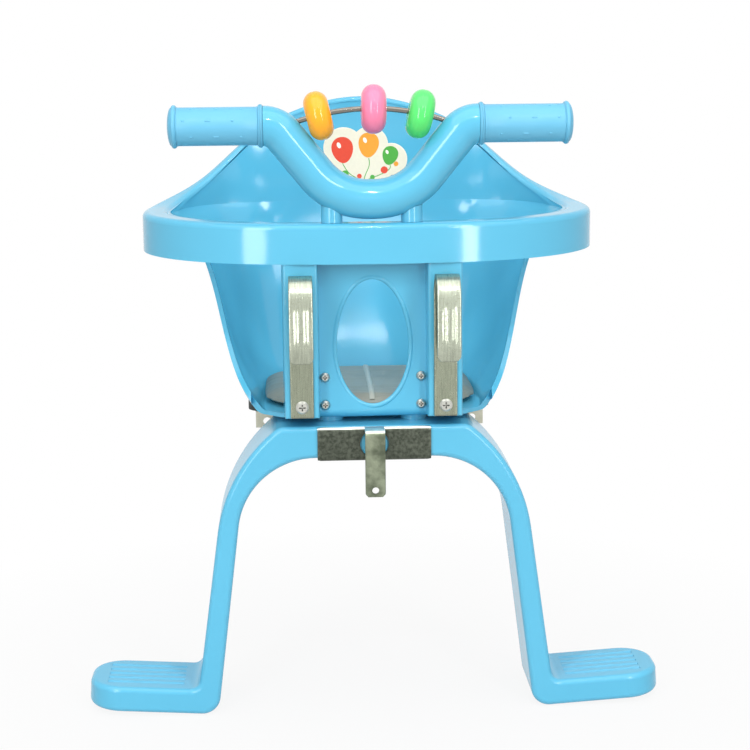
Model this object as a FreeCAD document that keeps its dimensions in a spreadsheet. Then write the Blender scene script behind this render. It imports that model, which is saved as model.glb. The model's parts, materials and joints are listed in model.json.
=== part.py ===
import FreeCAD, Part
import math
import os
import re
import Sketcher

from FreeCAD import Placement, Rotation, Vector

# Front child seat for a bicycle: a moulded bucket with a rim, hung by two steel hooks on the
# bicycle's handlebar, with a toy handlebar, play beads and a footrest frame below.
# Frame: origin on the axis of the bicycle's handlebar in the hooks, midway between them;
# +X to the right seen from the front, +Y towards the seat's back, +Z up. Millimetres.

SIZES = {
    # hooks of zinc-plated strip
    "hook_bar_radius": 14.0,
    "strip_thickness": 2.5,
    "strip_width": 17.5,
    "hook_offset": 54.0,
    "hook_front_drop": 46.0,
    "hook_back_drop": 93.0,
    "hook_end_radius": 4.0,
    "hook_rib_radius": 1.5,
    "hook_rib_height": 0.7,
    "hook_rib_length": 32.0,
    "hook_rib_spacing": 7.0,
    # rim ring of the shell, given by its outer plan outline
    "rim_height": 53.0,
    "rim_tilt": 0.035,
    "rim_front": 12.0,
    "rim_back": 218.0,
    "rim_half_width": 176.0,
    "rim_widest_depth": 92.0,
    "rim_front_flat": 43.0,
    "rim_back_flat": 62.0,
    "rim_flat_sharpness": 3.0,
    "rim_flange": 22.5,
    "rim_back_lip": 10.0,
    "rim_lip_place": 60.0,
    "rim_lip_change": 30.0,
    "rim_roll_share": 0.3,
    "skirt_drop": 30.0,
    "rim_edge_radius": 4.5,
    "back_rise": 84.0,
    "wing_foot_share": 0.55,
    "wing_foot_power": 2.0,
    "wing_sweep_place": 0.68,
    "wing_sweep_width": 0.08,
    "wall": 3.0,
    # bowl of the seat
    "floor_depth": 94.0,
    "floor_half_width": 84.0,
    "floor_back": 188.0,
    "floor_corner_radius": 4.0,
    "floor_front_squareness": 10.0,
    "floor_back_squareness": 4.5,
    "leg_opening_gap": 0.5,
    "leg_corner_width": 26.0,
    "leg_corner_depth": 24.0,
    "leg_opening_top": 102.0,
    # front panel window and the two rails that carry the hooks
    "window_half_width": 29.0,
    "window_top": 11.0,
    "window_bottom": 88.0,
    "window_widest": 42.0,
    "rail_width": 25.5,
    "rail_draft": 1.2,
    "rail_edge_radius": 1.8,
    "rail_bottom": 94.0,
    "rail_top_gap": 1.0,
    "rail_back_gap": 0.5,
    "rail_hollow_drop": 18.0,
    "backing_plate_thickness": 2.0,
    "backing_plate_inner_edge": 31.0,
    "backing_plate_width": 34.0,
    "backing_plate_height": 34.0,
    # seat pad
    "pad_thickness": 10.5,
    "pad_half_width": 83.0,
    "pad_front": 46.0,
    "pad_back": 182.0,
    "pad_front_corner_width": 45.0,
    "pad_front_corner_depth": 50.0,
    "pad_back_corner_radius": 40.0,
    "pad_edge_radius": 4.0,
    "pad_clearance": 0.4,
    # decal on the back
    "decal_width": 79.0,
    "decal_height": 50.0,
    "decal_thickness": 0.4,
    "decal_bottom": 65.0,
    "decal_clearance": 0.1,
    # toy handlebar
    "bar_radius": 14.75,
    "bar_depth": 24.0,
    "bar_grip_height": 124.5,
    "bar_low_height": 70.0,
    "bar_corner": 70.0,
    "bar_slant": 51.0,
    "bar_top_bend": 18.5,
    "bar_low_bend": 49.0,
    "spigot_radius": 10.5,
    "spigot_length": 60.0,
    "grip_inner_end": 79.0,
    "grip_length": 70.0,
    "grip_radius": 14.0,
    "grip_collar_radius": 15.8,
    "grip_collar_width": 5.5,
    "grip_flange_place": 61.0,
    "grip_flange_width": 4.0,
    "grip_dome": 5.0,
    "grip_clearance": 0.15,
    "post_offset": 29.7,
    "post_radius": 8.0,
    # bead wire and beads
    "wire_radius": 2.0,
    "wire_arc_radius": 169.0,
    "wire_half_span": 55.0,
    "wire_end_height": 127.0,
    "wire_seat": 11.0,
    "bead_radius": 18.2,
    "bead_thickness": 18.4,
    "bead_bore_radius": 2.7,
    "bead_hang": 0.4,
    "orange_bead_offset": -38.5,
    "pink_bead_offset": 2.0,
    "green_bead_offset": 36.5,
    # footrest frame, one moulding
    "frame_front": 18.0,
    "frame_depth": 65.0,
    "plank_top": 101.0,
    "plank_thickness": 24.5,
    "plank_half_width": 72.2,
    "shoulder_radius": 15.0,
    "shoulder_angle": 52.7,
    "leg_outer_bend": 125.0,
    "leg_outer_splay": 8.0,
    "leg_inner_start": 44.5,
    "leg_inner_bend": 60.0,
    "leg_inner_splay": 7.2,
    "peg_reach": 223.2,
    "peg_end_depth": 302.6,
    "peg_thickness": 20.0,
    "peg_tilt": 3.5,
    "peg_end_radius": 26.0,
    "peg_root_radius": 8.0,
    "peg_heel_radius": 14.0,
    "frame_edge_radius": 4.0,
    "groove_spacing": 9.0,
    "groove_depth": 1.6,
    "groove_radius": 2.4,
    "groove_inner_margin": 12.0,
    "groove_outer_margin": 14.0,
    # stem bracket, one folded and pierced plate with a clamping strap
    "bracket_half_width": 43.0,
    "bracket_thickness": 2.0,
    "bracket_leg": 44.0,
    "bracket_hole_radius": 10.8,
    "bracket_hole_depth": 114.0,
    "strap_width": 15.2,
    "strap_forward": 15.0,
    "strap_drop": 152.0,
    "strap_hole_radius": 2.6,
    "strap_hole_depth": 147.0,
    # screws, bolts and nuts
    "head_height": 2.6,
    "head_rim_height": 1.4,
    "head_crown_inset": 1.2,
    "recess_width": 1.0,
    "recess_depth": 1.5,
    "hole_clearance": 0.25,
    "thread_clearance": 0.1,
    "thread_out": 1.5,
    "hook_screw_radius": 2.5,
    "hook_screw_head": 4.9,
    "hook_screw_depth": 84.5,
    "hook_nut_radius": 4.6,
    "hook_nut_height": 4.0,
    "panel_screw_radius": 2.0,
    "panel_screw_head": 3.5,
    "panel_screw_offset": 36.4,
    "panel_screw_upper": 65.0,
    "panel_screw_lower": 86.5,
    "panel_nut_radius": 3.9,
    "panel_nut_height": 3.2,
    "bar_screw_radius": 2.4,
    "bar_screw_head": 4.4,
    "bar_screw_reach": 70.0,
    "bolt_radius": 3.0,
    "bolt_nut_radius": 5.8,
    "bolt_nut_height": 5.0,
    "bolt_boss_radius": 10.0,
    "seat_bolt_offset": 32.0,
    "seat_bolt_place": 50.0,
    # rest bar under the seat with its rubber pad
    "rest_pad_half_length": 97.0,
    "rest_pad_front": 98.0,
    "rest_pad_depth": 30.0,
    "rest_pad_thickness": 8.0,
    "rest_bar_half_length": 91.0,
    "rest_bar_depth": 22.0,
    "rest_bar_flange": 13.0,
    "rest_bar_thickness": 2.2,
    "rest_hole_inset": 9.0,
    "rest_hole_drop": 8.0,
    "rest_hole_radius": 3.2,
    "rest_bolt_offset": 45.0,
}

doc = FreeCAD.newDocument("child_bike_seat")
sheet = doc.addObject("Spreadsheet::Sheet", "Sizes")
for row, (alias, value) in enumerate(SIZES.items(), start=1):
    sheet.set("A%d" % row, alias)
    sheet.set("B%d" % row, str(value))
    sheet.setAlias("B%d" % row, alias)
doc.recompute()

nodes = []
CLOSE = 0.01


def size(alias):
    """A driving dimension, read from the sheet."""
    return float(sheet.get(alias))


def formula(words):
    """Turn an expression of size names into one that reads the sheet's cells."""
    def cell(match):
        word = match.group(0)
        return "Sizes." + word if word in SIZES else word

    return re.sub(r"[a-z_]+", cell, words)


def bind(thing, sizes, at, turn=None):
    """Bind a solid's sizes and its place to the sheet."""
    if turn is not None:
        thing.Placement = Placement(Vector(), turn)
    for name, words in sizes.items():
        thing.setExpression(name, formula(words))
    for name, words in zip("xyz", at):
        thing.setExpression("Placement.Base." + name, formula(words))
    return thing


def solid(kind, name, sizes, at, turn=None):
    """A Part primitive bound to the sheet."""
    return bind(doc.addObject("Part::" + kind, name), sizes, at, turn)


def fuse(name, pieces):
    made = doc.addObject("Part::MultiFuse", name)
    made.Shapes = pieces
    return made


def cut(name, base, tool):
    made = doc.addObject("Part::Cut", name)
    made.Base = base
    made.Tool = tool
    return made


def group(name, pieces):
    """Like fasteners: separate solids that share one node."""
    made = doc.addObject("Part::Compound", name)
    made.Links = pieces
    return made


def moulded(name, shape):
    """A free-form piece whose shape is worked out from the sheet's sizes."""
    made = doc.addObject("Part::Feature", name)
    made.Shape = shape
    return made


def node(label, thing):
    """A finished sub-part: its label names its file."""
    thing.Label = label
    nodes.append(thing)
    return thing


ALONG_X = Rotation(Vector(0, 1, 0), 90)
ALONG_Y = Rotation(Vector(1, 0, 0), -90)
SIDES = {"left": "-1", "right": "1"}

# The rim ring. Round the ring its outer edge runs along the plan outline; the top is level
# in front, tilts up a little towards the sides and sweeps up over the wings to the back.

rim_middle = size("rim_front") + size("rim_widest_depth")
roll_step = 0.6
ring_sections = 22
bowl_sections = 16
section_crowding = 0.65


def rim_top(x, y):
    """Height of the rim's top face above the origin at a place in plan."""
    level = size("rim_height") + size("rim_tilt") * (min(y, rim_middle) - size("rim_front"))
    if y <= rim_middle:
        return level
    reach = max(math.hypot(x, y - rim_middle), size("rim_widest_depth"))
    sweep = (y - rim_middle) / reach
    foot = size("wing_foot_share")
    climb = 1 + math.exp((size("wing_sweep_place") - sweep) / size("wing_sweep_width"))
    share = foot * sweep ** size("wing_foot_power") + (1 - foot) / climb
    return level + size("back_rise") * share


def rim_edge(turn):
    """Plan point on the rim's outer edge for a turn round the ring, flattened in front and behind."""
    c, s = math.cos(turn), math.sin(turn)
    flat = size("rim_front_flat") if s < 0 else size("rim_back_flat")
    depth = size("rim_widest_depth") if s < 0 else size("rim_back") - rim_middle
    sharp = size("rim_flat_sharpness")
    x = flat * math.tanh(sharp * c) / math.tanh(sharp) + (size("rim_half_width") - flat) * c
    return Vector(x, rim_middle + depth * s, 0)


def rim_inward(turn):
    along = rim_edge(turn + CLOSE) - rim_edge(turn - CLOSE)
    return Vector(-along.y, along.x, 0).normalize()


def rim_flange(turn):
    """Width of the rim's top face: broad in front and at the sides, a narrow lip at the back."""
    behind = rim_edge(turn).y - rim_middle - size("rim_lip_place")
    share = (1 + math.tanh(behind / size("rim_lip_change"))) / 2
    return size("rim_flange") + (size("rim_back_lip") - size("rim_flange")) * share


def ring_section(turn):
    """Hat section of the rim: skirt outside, flange on top, rolled inner edge."""
    here = rim_edge(turn)
    inward = rim_inward(turn)
    flange = rim_flange(turn)
    top = rim_top(here.x, here.y)
    outer = size("rim_edge_radius")
    inner = size("rim_roll_share") * flange
    wall = size("wall")

    def at(u, v):
        return here + inward * u + Vector(0, 0, top + v)

    def arc(center, radius, first, last):
        points = []
        for angle in (first, (first + last) / 2, last):
            turned = math.radians(angle)
            points.append(at(center[0] + radius * math.cos(turned), center[1] + radius * math.sin(turned)))
        return Part.Arc(*points).toShape()

    corners = [at(0, -size("skirt_drop")), at(0, -outer), at(outer, 0), at(flange - inner, 0)]
    low = -max(inner, wall) - roll_step
    corners += [at(flange, -inner), at(flange, low), at(flange - wall, low)]
    corners += [at(flange - wall, -wall), at(wall, -wall), at(wall, -size("skirt_drop"))]
    edges = [Part.makeLine(corners[0], corners[1]), arc((outer, -outer), outer, 180, 90)]
    edges += [Part.makeLine(corners[2], corners[3]), arc((flange - inner, -inner), inner, 90, 0)]
    edges += [Part.makeLine(a, b) for a, b in zip(corners[4:], corners[5:] + corners[:1])]
    return Part.Wire(edges)


def rim_turns(steps):
    """Turns from the front round the right side to the back, closer together in front and behind."""
    full = 2 * math.pi
    turns = []
    for i in range(steps + 1):
        share = i / steps
        turns.append(math.pi * (share - section_crowding * math.sin(full * share) / full - 0.5))
    return turns


def rim_ring():
    """Right half lofted from the front to the back, and its mirror image."""
    half = Part.makeLoft([ring_section(turn) for turn in rim_turns(ring_sections)], True, False)
    return half.fuse(half.mirror(Vector(), Vector(1, 0, 0)))


# The bowl: two lofts through plan outlines, one inside the other, a wall apart.

panel_inner = size("rim_front") + size("rim_flange") - roll_step
panel_front = panel_inner - size("wall")
rail_front = size("hook_bar_radius") + size("strip_thickness")
bowl_levels = (0, 0.05, 0.12, 0.25, 0.5, 0.75, 0.89, 1)
bowl_swell = (0, 6.5, 13, 21, 31, 41, 51)
leg_edge = ((36, 0), (50, 8), (74, 34), (92, 74))
plate_bottom = size("floor_corner_radius") + size("hole_clearance") - size("floor_depth")
plate_top = plate_bottom + size("backing_plate_height")


def floor_edge(turn, grow):
    """Plan point on the floor's outline, a rectangle with well rounded corners."""
    c, s = math.cos(turn), math.sin(turn)
    front = panel_inner - grow
    back = size("floor_back") + grow
    power = 2 / size("floor_front_squareness" if s < 0 else "floor_back_squareness")
    x = (size("floor_half_width") + grow) * math.copysign(abs(c) ** power, c)
    y = (front + back) / 2 + (back - front) / 2 * math.copysign(abs(s) ** power, s)
    return Vector(x, y, 0)


def bowl(grow):
    """Inside of the bowl grown outwards; the floor sinks by the same amount. The sides swell out
    over the floor and once more under the rim, and the back leans out less and less."""
    floor = -size("floor_depth") - grow
    top = size("rim_height")
    overrun = size("back_rise") * 1.5
    right = rim_turns(bowl_sections)
    turns = right + [math.pi - turn for turn in reversed(right[1:-1])]
    sections = []
    rim_swell = size("rim_half_width") - size("rim_flange") + roll_step - size("floor_half_width")
    for share, swell in zip(bowl_levels, bowl_swell + (rim_swell,)):
        flare = swell / rim_swell
        lean = 1 - (1 - share) ** 2
        points = []
        for turn in turns:
            rim = rim_edge(turn) + rim_inward(turn) * (rim_flange(turn) - roll_step - grow)
            low = floor_edge(turn, grow)
            across = low.x + (rim.x - low.x) * flare
            along = low.y + (rim.y - low.y) * lean
            points.append(Vector(across, along, floor + (top - floor) * share))
        curve = Part.BSplineCurve()
        curve.interpolate(points, PeriodicFlag=True)
        sections.append(Part.Wire(curve.toShape()))
    lower = Part.makeLoft(sections, True, False)
    rise = Part.Face(sections[-1]).extrude(Vector(0, 0, overrun))
    low_edges = [e for e in lower.Edges if all(abs(v.Z - floor) < CLOSE for v in e.Vertexes)]
    return lower.makeFillet(size("floor_corner_radius") + grow, low_edges).fuse(rise)


def bowl_wall():
    """The wall between the inside of the bowl and its outside, closed along its top by one flat face."""
    faces = []
    rims = []
    for grow in (0, size("wall")):
        skin = bowl(grow)
        top = max(skin.Faces, key=lambda face: face.CenterOfMass.z)
        faces += [face for face in skin.Faces if not face.isSame(top)]
        rims.insert(0, top.OuterWire)
    wall = Part.Solid(Part.Shell(faces + [Part.Face(rims)]))
    wall.fix(CLOSE, CLOSE, CLOSE)
    return wall


def under_rim(drop):
    """Everything that lies under the rim's top face, lowered by a drop."""
    pitch = 10
    side = int(size("rim_half_width") / pitch) + 3
    first = int(size("rim_front") / pitch) - 3
    last = int(size("rim_back") / pitch) + 3
    across = [pitch * i for i in range(-side, side + 1)]
    along = [pitch * i for i in range(first, last + 1)]
    grid = [[Vector(x, y, rim_top(x, y) - drop) for x in across] for y in along]
    surface = Part.BSplineSurface()
    surface.interpolate(grid)
    deep = 2 * (size("rim_height") + size("floor_depth"))
    return surface.toShape().extrude(Vector(0, 0, -deep))


def leg_opening(side):
    """Space in front of the side wall's edge where a leg goes down beside the rail."""
    inner = size("hook_offset") + size("rail_width") / 2 + size("leg_opening_gap")
    floor = -size("floor_depth")
    top = size("rim_height") - size("skirt_drop") / 2
    edge = [(depth, floor + rise) for depth, rise in leg_edge] + [(size("leg_opening_top"), top)]
    curve = Part.BSplineCurve()
    curve.interpolate([Vector(side * inner, y, z) for y, z in edge])
    front = size("rim_front")
    corners = [Vector(side * inner, y, z) for y, z in (edge[-1], (front, top), (front, floor), edge[0])]
    lines = [Part.makeLine(a, b) for a, b in zip(corners, corners[1:])]
    face = Part.Face(Part.Wire([curve.toShape()] + lines))
    return face.extrude(Vector(side * size("rim_half_width"), 0, 0))


def leg_corner(side):
    """Corner of the floor that is cut off slantwise between the rail and the side wall."""
    wall = size("wall")
    inner = size("hook_offset") + size("rail_width") / 2 + size("leg_opening_gap")
    outer = inner + size("leg_corner_width")
    low = -size("floor_depth") - 2 * wall
    start = leg_edge[0][0]
    front = size("rim_front")
    corners = [(inner, front), (outer, front), (outer, start + size("leg_corner_depth")), (inner, start)]
    places = [Vector(side * x, y, low) for x, y in corners]
    return Part.Face(Part.makePolygon(places + places[:1])).extrude(Vector(0, 0, leg_edge[2][1]))


def window():
    """Egg-shaped window in the front panel, wider below."""
    half = size("window_half_width")
    wide = -size("window_widest")
    upper = size("window_top") - wide
    lower = size("window_bottom") + wide
    y = panel_front - 2 * size("wall")
    middle = Vector(0, y, wide)
    over = Part.Ellipse(Vector(0, y, wide + upper), Vector(half, y, wide), middle)
    under = Part.Ellipse(Vector(0, y, wide - lower), Vector(-half, y, wide), middle)
    arcs = [Part.ArcOfEllipse(e, -math.pi / 2, math.pi / 2).toShape() for e in (over, under)]
    return Part.Face(Part.Wire(arcs)).extrude(Vector(0, 5 * size("wall"), 0))


def rail(side):
    """Channel-shaped rail that stands out of the front panel and carries one hook."""
    def frustum(shrink, front, back, low, high):
        half = size("rail_width") / 2 - shrink
        draft = size("rail_draft")
        wires = []
        for y, more in ((front, 0), (back, draft)):
            corners = [Vector(side * size("hook_offset") + sx * (half + more), y, z)
                       for sx, z in ((-1, low), (1, low), (1, high), (-1, high))]
            wires.append(Part.makePolygon(corners + corners[:1]))
        return Part.makeLoft(wires, True, True)

    wall = size("wall")
    top = size("rim_height") - size("rail_top_gap")
    body = frustum(0, rail_front, panel_inner - size("rail_back_gap"), -size("rail_bottom"), top)
    upright = [e for e in body.Edges if all(abs(v.Y - rail_front) < CLOSE for v in e.Vertexes)]
    body = body.makeFillet(size("rail_edge_radius"), upright)
    hollow_top = top - size("rail_hollow_drop")
    hollow = frustum(wall, rail_front + wall, panel_inner + 2 * wall, plate_top + wall, hollow_top)
    return body, hollow


def plate_seat(side):
    """Flat land inside the front panel on which a backing plate lies."""
    clear = size("hole_clearance")
    width = size("backing_plate_width") + 2 * clear
    height = size("backing_plate_height") + clear
    inner = size("backing_plate_inner_edge") - clear
    left = inner if side > 0 else -inner - width
    return Part.makeBox(width, 4 * size("wall"), height, Vector(left, panel_inner, plate_bottom))


def seat_shell():
    wall = size("wall")
    floor = -size("floor_depth")
    clear = size("hole_clearance")
    bolt = size("bolt_radius")
    added = [rim_ring()]
    removed = [window()]
    for side in (-1, 1):
        body, hollow = rail(side)
        foot = Vector(side * size("seat_bolt_offset"), size("seat_bolt_place"), -size("plank_top"))
        rest = Vector(side * size("rest_bolt_offset"), rest_bolt_place, floor - 2 * wall)
        added += [body, Part.makeCylinder(size("bolt_boss_radius"), floor - wall / 2 - foot.z, foot)]
        removed += [hollow, plate_seat(side)]
        for place in (foot, rest):
            sink = Vector(place.x, place.y, floor - bolt)
            removed.append(Part.makeCylinder(bolt + clear, floor - place.z, place))
            removed.append(Part.makeCone(bolt + clear, 2 * bolt + clear, bolt, sink))
        hook = Vector(side * size("hook_offset"), rail_front - wall, -size("hook_screw_depth"))
        removed.append(Part.makeCylinder(size("hook_screw_radius") + clear, 10 * wall, hook, Vector(0, 1, 0)))
        thread = size("panel_screw_radius") + clear
        for depth in ("panel_screw_upper", "panel_screw_lower"):
            panel = Vector(side * size("panel_screw_offset"), panel_front - wall, -size(depth))
            removed.append(Part.makeCylinder(thread, 4 * wall, panel, Vector(0, 1, 0)))
            removed.append(Part.makeCylinder(size("panel_screw_head") + clear, wall, panel, Vector(0, 1, 0)))
        post = Vector(side * size("post_offset"), size("bar_depth"), size("rim_height") - 3 * wall)
        removed.append(Part.makeCylinder(size("bar_screw_radius") + clear, 6 * wall, post))
    walls = bowl_wall().common(under_rim(wall / 2))
    walls = walls.cut([opening(side) for side in (-1, 1) for opening in (leg_opening, leg_corner)])
    return walls.fuse(added).cut(removed)


rest_bolt_place = size("rest_pad_front") + size("rest_bar_depth") / 2
node("seat_shell", moulded("Shell", seat_shell()))

# Fasteners: cross-recess pan-head screws, countersunk bolts and hexagon nuts, each along its own Z.

START = ("0", "0", "0")


def pan_screw(name, shank, head, length, at, turn=None):
    """Screw whose shank goes up from the place given and whose head lies under it."""
    rim = {"Radius": head, "Height": "head_rim_height"}
    crown = {"Radius1": head + " - head_crown_inset", "Radius2": head}
    crown["Height"] = "head_height - head_rim_height"
    blank = fuse(name + "Blank", [
        solid("Cylinder", name + "Shank", {"Radius": shank, "Height": length}, START),
        solid("Cylinder", name + "Rim", rim, ("0", "0", "-head_rim_height")),
        solid("Cone", name + "Crown", crown, ("0", "0", "-head_height")),
    ])
    across = {"Length": head, "Width": "recess_width", "Height": "recess_depth"}
    upright = {"Length": "recess_width", "Width": head, "Height": "recess_depth"}
    recess = fuse(name + "Recess", [
        solid("Box", name + "Across", across, ("-%s / 2" % head, "-recess_width / 2", "-head_height")),
        solid("Box", name + "Upright", upright, ("-recess_width / 2", "-%s / 2" % head, "-head_height")),
    ])
    return bind(cut(name, blank, recess), {}, at, turn)


def sunk_bolt(name, length, at):
    """Countersunk bolt that hangs down from the place given."""
    head = {"Radius1": "bolt_radius", "Radius2": "2 * bolt_radius", "Height": "bolt_radius"}
    shank = {"Radius": "bolt_radius", "Height": length}
    return bind(fuse(name, [
        solid("Cone", name + "Head", head, ("0", "0", "-bolt_radius")),
        solid("Cylinder", name + "Shank", shank, ("0", "0", "-(%s)" % length)),
    ]), {}, at)


def nut(name, radius, height, shank, at, turn=None):
    """Hexagon nut that stands on the place given."""
    blank = solid("Prism", name + "Blank", {"Circumradius": radius, "Height": height}, START)
    blank.Polygon = 6
    bore = hole(name + "Bore", shank + " + thread_clearance", height, START)
    return bind(cut(name, blank, bore), {}, at, turn)


def hole(name, radius, length, at, turn=None):
    """A round piece along its own Z, to be taken out of another or added to it."""
    return solid("Cylinder", name, {"Radius": radius, "Height": length}, at, turn)


# Hooks: zinc-plated strip bent over the bicycle's handlebar, with two ribs pressed in its front leg.


def hook_profile(body):
    """Side view of the bent strip, drawn on the body's own plane."""
    inner = size("hook_bar_radius")
    outer = inner + size("strip_thickness")
    front = -size("hook_front_drop")
    back = -size("hook_back_drop")
    sketch = body.newObject("Sketcher::SketchObject", body.Name + "Profile")
    sketch.AttachmentSupport = [(next(f for f in body.Origin.OriginFeatures if f.Role == "YZ_Plane"), "")]
    sketch.MapMode = "FlatFace"
    for radius in (outer, inner):
        sketch.addGeometry(Part.ArcOfCircle(Part.Circle(Vector(), Vector(0, 0, 1), radius), 0, math.pi))
    legs = [(-outer, 0), (-outer, front), (-inner, front), (-inner, 0)]
    legs += [(inner, 0), (inner, back), (outer, back), (outer, 0)]
    places = [Vector(y, z, 0) for y, z in legs]
    for first in (0, 1, 2, 4, 5, 6):
        sketch.addGeometry(Part.LineSegment(places[first], places[first + 1]))
    joints = [("Coincident", 0, 3, -1, 1), ("Coincident", 1, 3, -1, 1), ("Tangent", 0, 2, 2, 1)]
    joints += [("Coincident", 2, 2, 3, 1), ("Coincident", 3, 2, 4, 1), ("Tangent", 4, 2, 1, 2)]
    joints += [("Tangent", 1, 1, 5, 1), ("Coincident", 5, 2, 6, 1), ("Coincident", 6, 2, 7, 1)]
    joints += [("Tangent", 7, 2, 0, 1), ("Horizontal", 3), ("Horizontal", 6)]
    joints += [("Vertical", line) for line in (2, 4, 5, 7)]
    for joint in joints:
        sketch.addConstraint(Sketcher.Constraint(*joint))
    driven = [("Radius", (0, outer), "hook_bar_radius + strip_thickness")]
    driven += [("Radius", (1, inner), "hook_bar_radius")]
    driven += [("DistanceY", (3, 1, -1, 1, -front), "hook_front_drop")]
    driven += [("DistanceY", (6, 1, -1, 1, -back), "hook_back_drop")]
    for kind, what, words in driven:
        index = sketch.addConstraint(Sketcher.Constraint(kind, *what))
        sketch.setExpression("Constraints[%d]" % index, formula(words))
    return sketch


def hook(side, sign):
    name = "Hook" + side.title()
    body = doc.addObject("PartDesign::Body", name)
    strip = body.newObject("PartDesign::Pad", name + "Strip")
    strip.Profile = hook_profile(body)
    strip.SideType = "Symmetric"
    strip.setExpression("Length", formula("strip_width"))
    doc.recompute()
    front_end = -size("hook_front_drop")
    corners = []
    for number, edge in enumerate(strip.Shape.Edges, start=1):
        box = edge.BoundBox
        if abs(box.ZMax - front_end) < CLOSE and box.XLength < CLOSE and box.ZLength < CLOSE:
            if box.YMax < 0:
                corners.append("Edge%d" % number)
    rounded = body.newObject("PartDesign::Fillet", name + "Ends")
    rounded.Base = (strip, corners)
    rounded.setExpression("Radius", formula("hook_end_radius"))
    place = sign + " * hook_offset"
    bind(body, {}, (place, "0", "0"))
    ribs = []
    for rib in ("-1", "1"):
        at = ("%s + %s * hook_rib_spacing / 2" % (place, rib),
              "hook_rib_radius - hook_rib_height - hook_bar_radius - strip_thickness", "-hook_rib_length")
        ribs.append(hole(name + "Rib" + str(len(ribs)), "hook_rib_radius", "hook_rib_length", at))
    bore = hole(name + "Bore", "hook_screw_radius + hole_clearance", "4 * strip_thickness",
                (place, "hook_bar_radius - strip_thickness", "-hook_screw_depth"), ALONG_Y)
    return cut(name + "Pierced", fuse(name + "Ribbed", [body] + ribs), bore)


for side, sign in SIDES.items():
    node("hook_" + side, hook(side, sign))

PANEL_INNER = "(rim_front + rim_flange - %s)" % roll_step
PANEL_FRONT = "(rim_front + rim_flange - %s - wall)" % roll_step
PLATE_BOTTOM = "(floor_corner_radius + hole_clearance - floor_depth)"
PLATE_BACK = PANEL_INNER + " + backing_plate_thickness"
hook_screws = []
hook_nuts = []
panel_screws = []
panel_nuts = []
for side, sign in SIDES.items():
    name = side.title()
    at = (sign + " * hook_offset", "hook_bar_radius", "-hook_screw_depth")
    behind = (at[0], PLATE_BACK, at[2])
    length = PLATE_BACK + " - hook_bar_radius + hook_nut_height + thread_out"
    screw = pan_screw("HookScrew" + name, "hook_screw_radius", "hook_screw_head", length, at, ALONG_Y)
    hook_screws.append(screw)
    screw_nut = nut("HookNut" + name, "hook_nut_radius", "hook_nut_height", "hook_screw_radius",
                    behind, ALONG_Y)
    hook_nuts.append(screw_nut)
    left = "backing_plate_inner_edge" if sign == "1" else "-backing_plate_inner_edge - backing_plate_width"
    sizes = {"Length": "backing_plate_width", "Width": "backing_plate_thickness"}
    sizes["Height"] = "backing_plate_height"
    plate = solid("Box", "Plate" + name, sizes, (left, PANEL_INNER, PLATE_BOTTOM))
    through = "3 * backing_plate_thickness"
    before_plate = PANEL_INNER + " - backing_plate_thickness"
    bores = [hole("PlateBore" + name, "hook_screw_radius + hole_clearance", through,
                  (at[0], before_plate, at[2]), ALONG_Y)]
    for level in ("upper", "lower"):
        tag = name + level.title()
        place = (sign + " * panel_screw_offset", PANEL_FRONT, "-panel_screw_" + level)
        behind = (place[0], PLATE_BACK, place[2])
        length = "wall + backing_plate_thickness + panel_nut_height + thread_out"
        screw = pan_screw("PanelScrew" + tag, "panel_screw_radius", "panel_screw_head", length,
                          place, ALONG_Y)
        panel_screws.append(screw)
        screw_nut = nut("PanelNut" + tag, "panel_nut_radius", "panel_nut_height", "panel_screw_radius",
                        behind, ALONG_Y)
        panel_nuts.append(screw_nut)
        bores.append(hole("PlateBore" + tag, "panel_screw_radius + hole_clearance", through,
                          (place[0], before_plate, place[2]), ALONG_Y))
    node("backing_plate_" + side, cut("BackingPlate" + name, plate, fuse("PlateBores" + name, bores)))
node("hook_screws", group("HookScrews", hook_screws))
node("hook_nuts", group("HookNuts", hook_nuts))
node("panel_screws", group("PanelScrews", panel_screws))
node("panel_nuts", group("PanelNuts", panel_nuts))

# Toy handlebar: one bent tube with a spigot at each end for its grip.


def rounded_path(corners, radii):
    """Straight runs joined by tangent arcs, one radius for each inner corner."""
    edges = []
    start = corners[0]
    for before, corner, after, radius in zip(corners, corners[1:], corners[2:], radii):
        back = (before - corner).normalize()
        ahead = (after - corner).normalize()
        half_turn = (math.pi - back.getAngle(ahead)) / 2
        reach = radius * math.tan(half_turn)
        middle = (back + ahead).normalize() * radius * (1 / math.cos(half_turn) - 1)
        edges.append(Part.makeLine(start, corner + back * reach))
        edges.append(Part.Arc(corner + back * reach, corner + middle, corner + ahead * reach).toShape())
        start = corner + ahead * reach
    edges.append(Part.makeLine(start, corners[-1]))
    return Part.Wire(edges)


def bar_tube(grow):
    """The bent tube from grip to grip, grown by a clearance."""
    depth = size("bar_depth")
    high = size("bar_grip_height")
    low = size("bar_low_height")
    foot = size("bar_corner") - (high - low) / math.tan(math.radians(size("bar_slant")))
    right = [(size("grip_inner_end"), high), (size("bar_corner"), high), (foot, low)]
    corners = [Vector(-x, depth, z) for x, z in right] + [Vector(x, depth, z) for x, z in reversed(right)]
    radii = [size("bar_top_bend"), size("bar_low_bend"), size("bar_low_bend"), size("bar_top_bend")]
    section = Part.Wire(Part.makeCircle(size("bar_radius") + grow, corners[0], Vector(1, 0, 0)))
    return rounded_path(corners, radii).makePipeShell([section], True, False)


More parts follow.
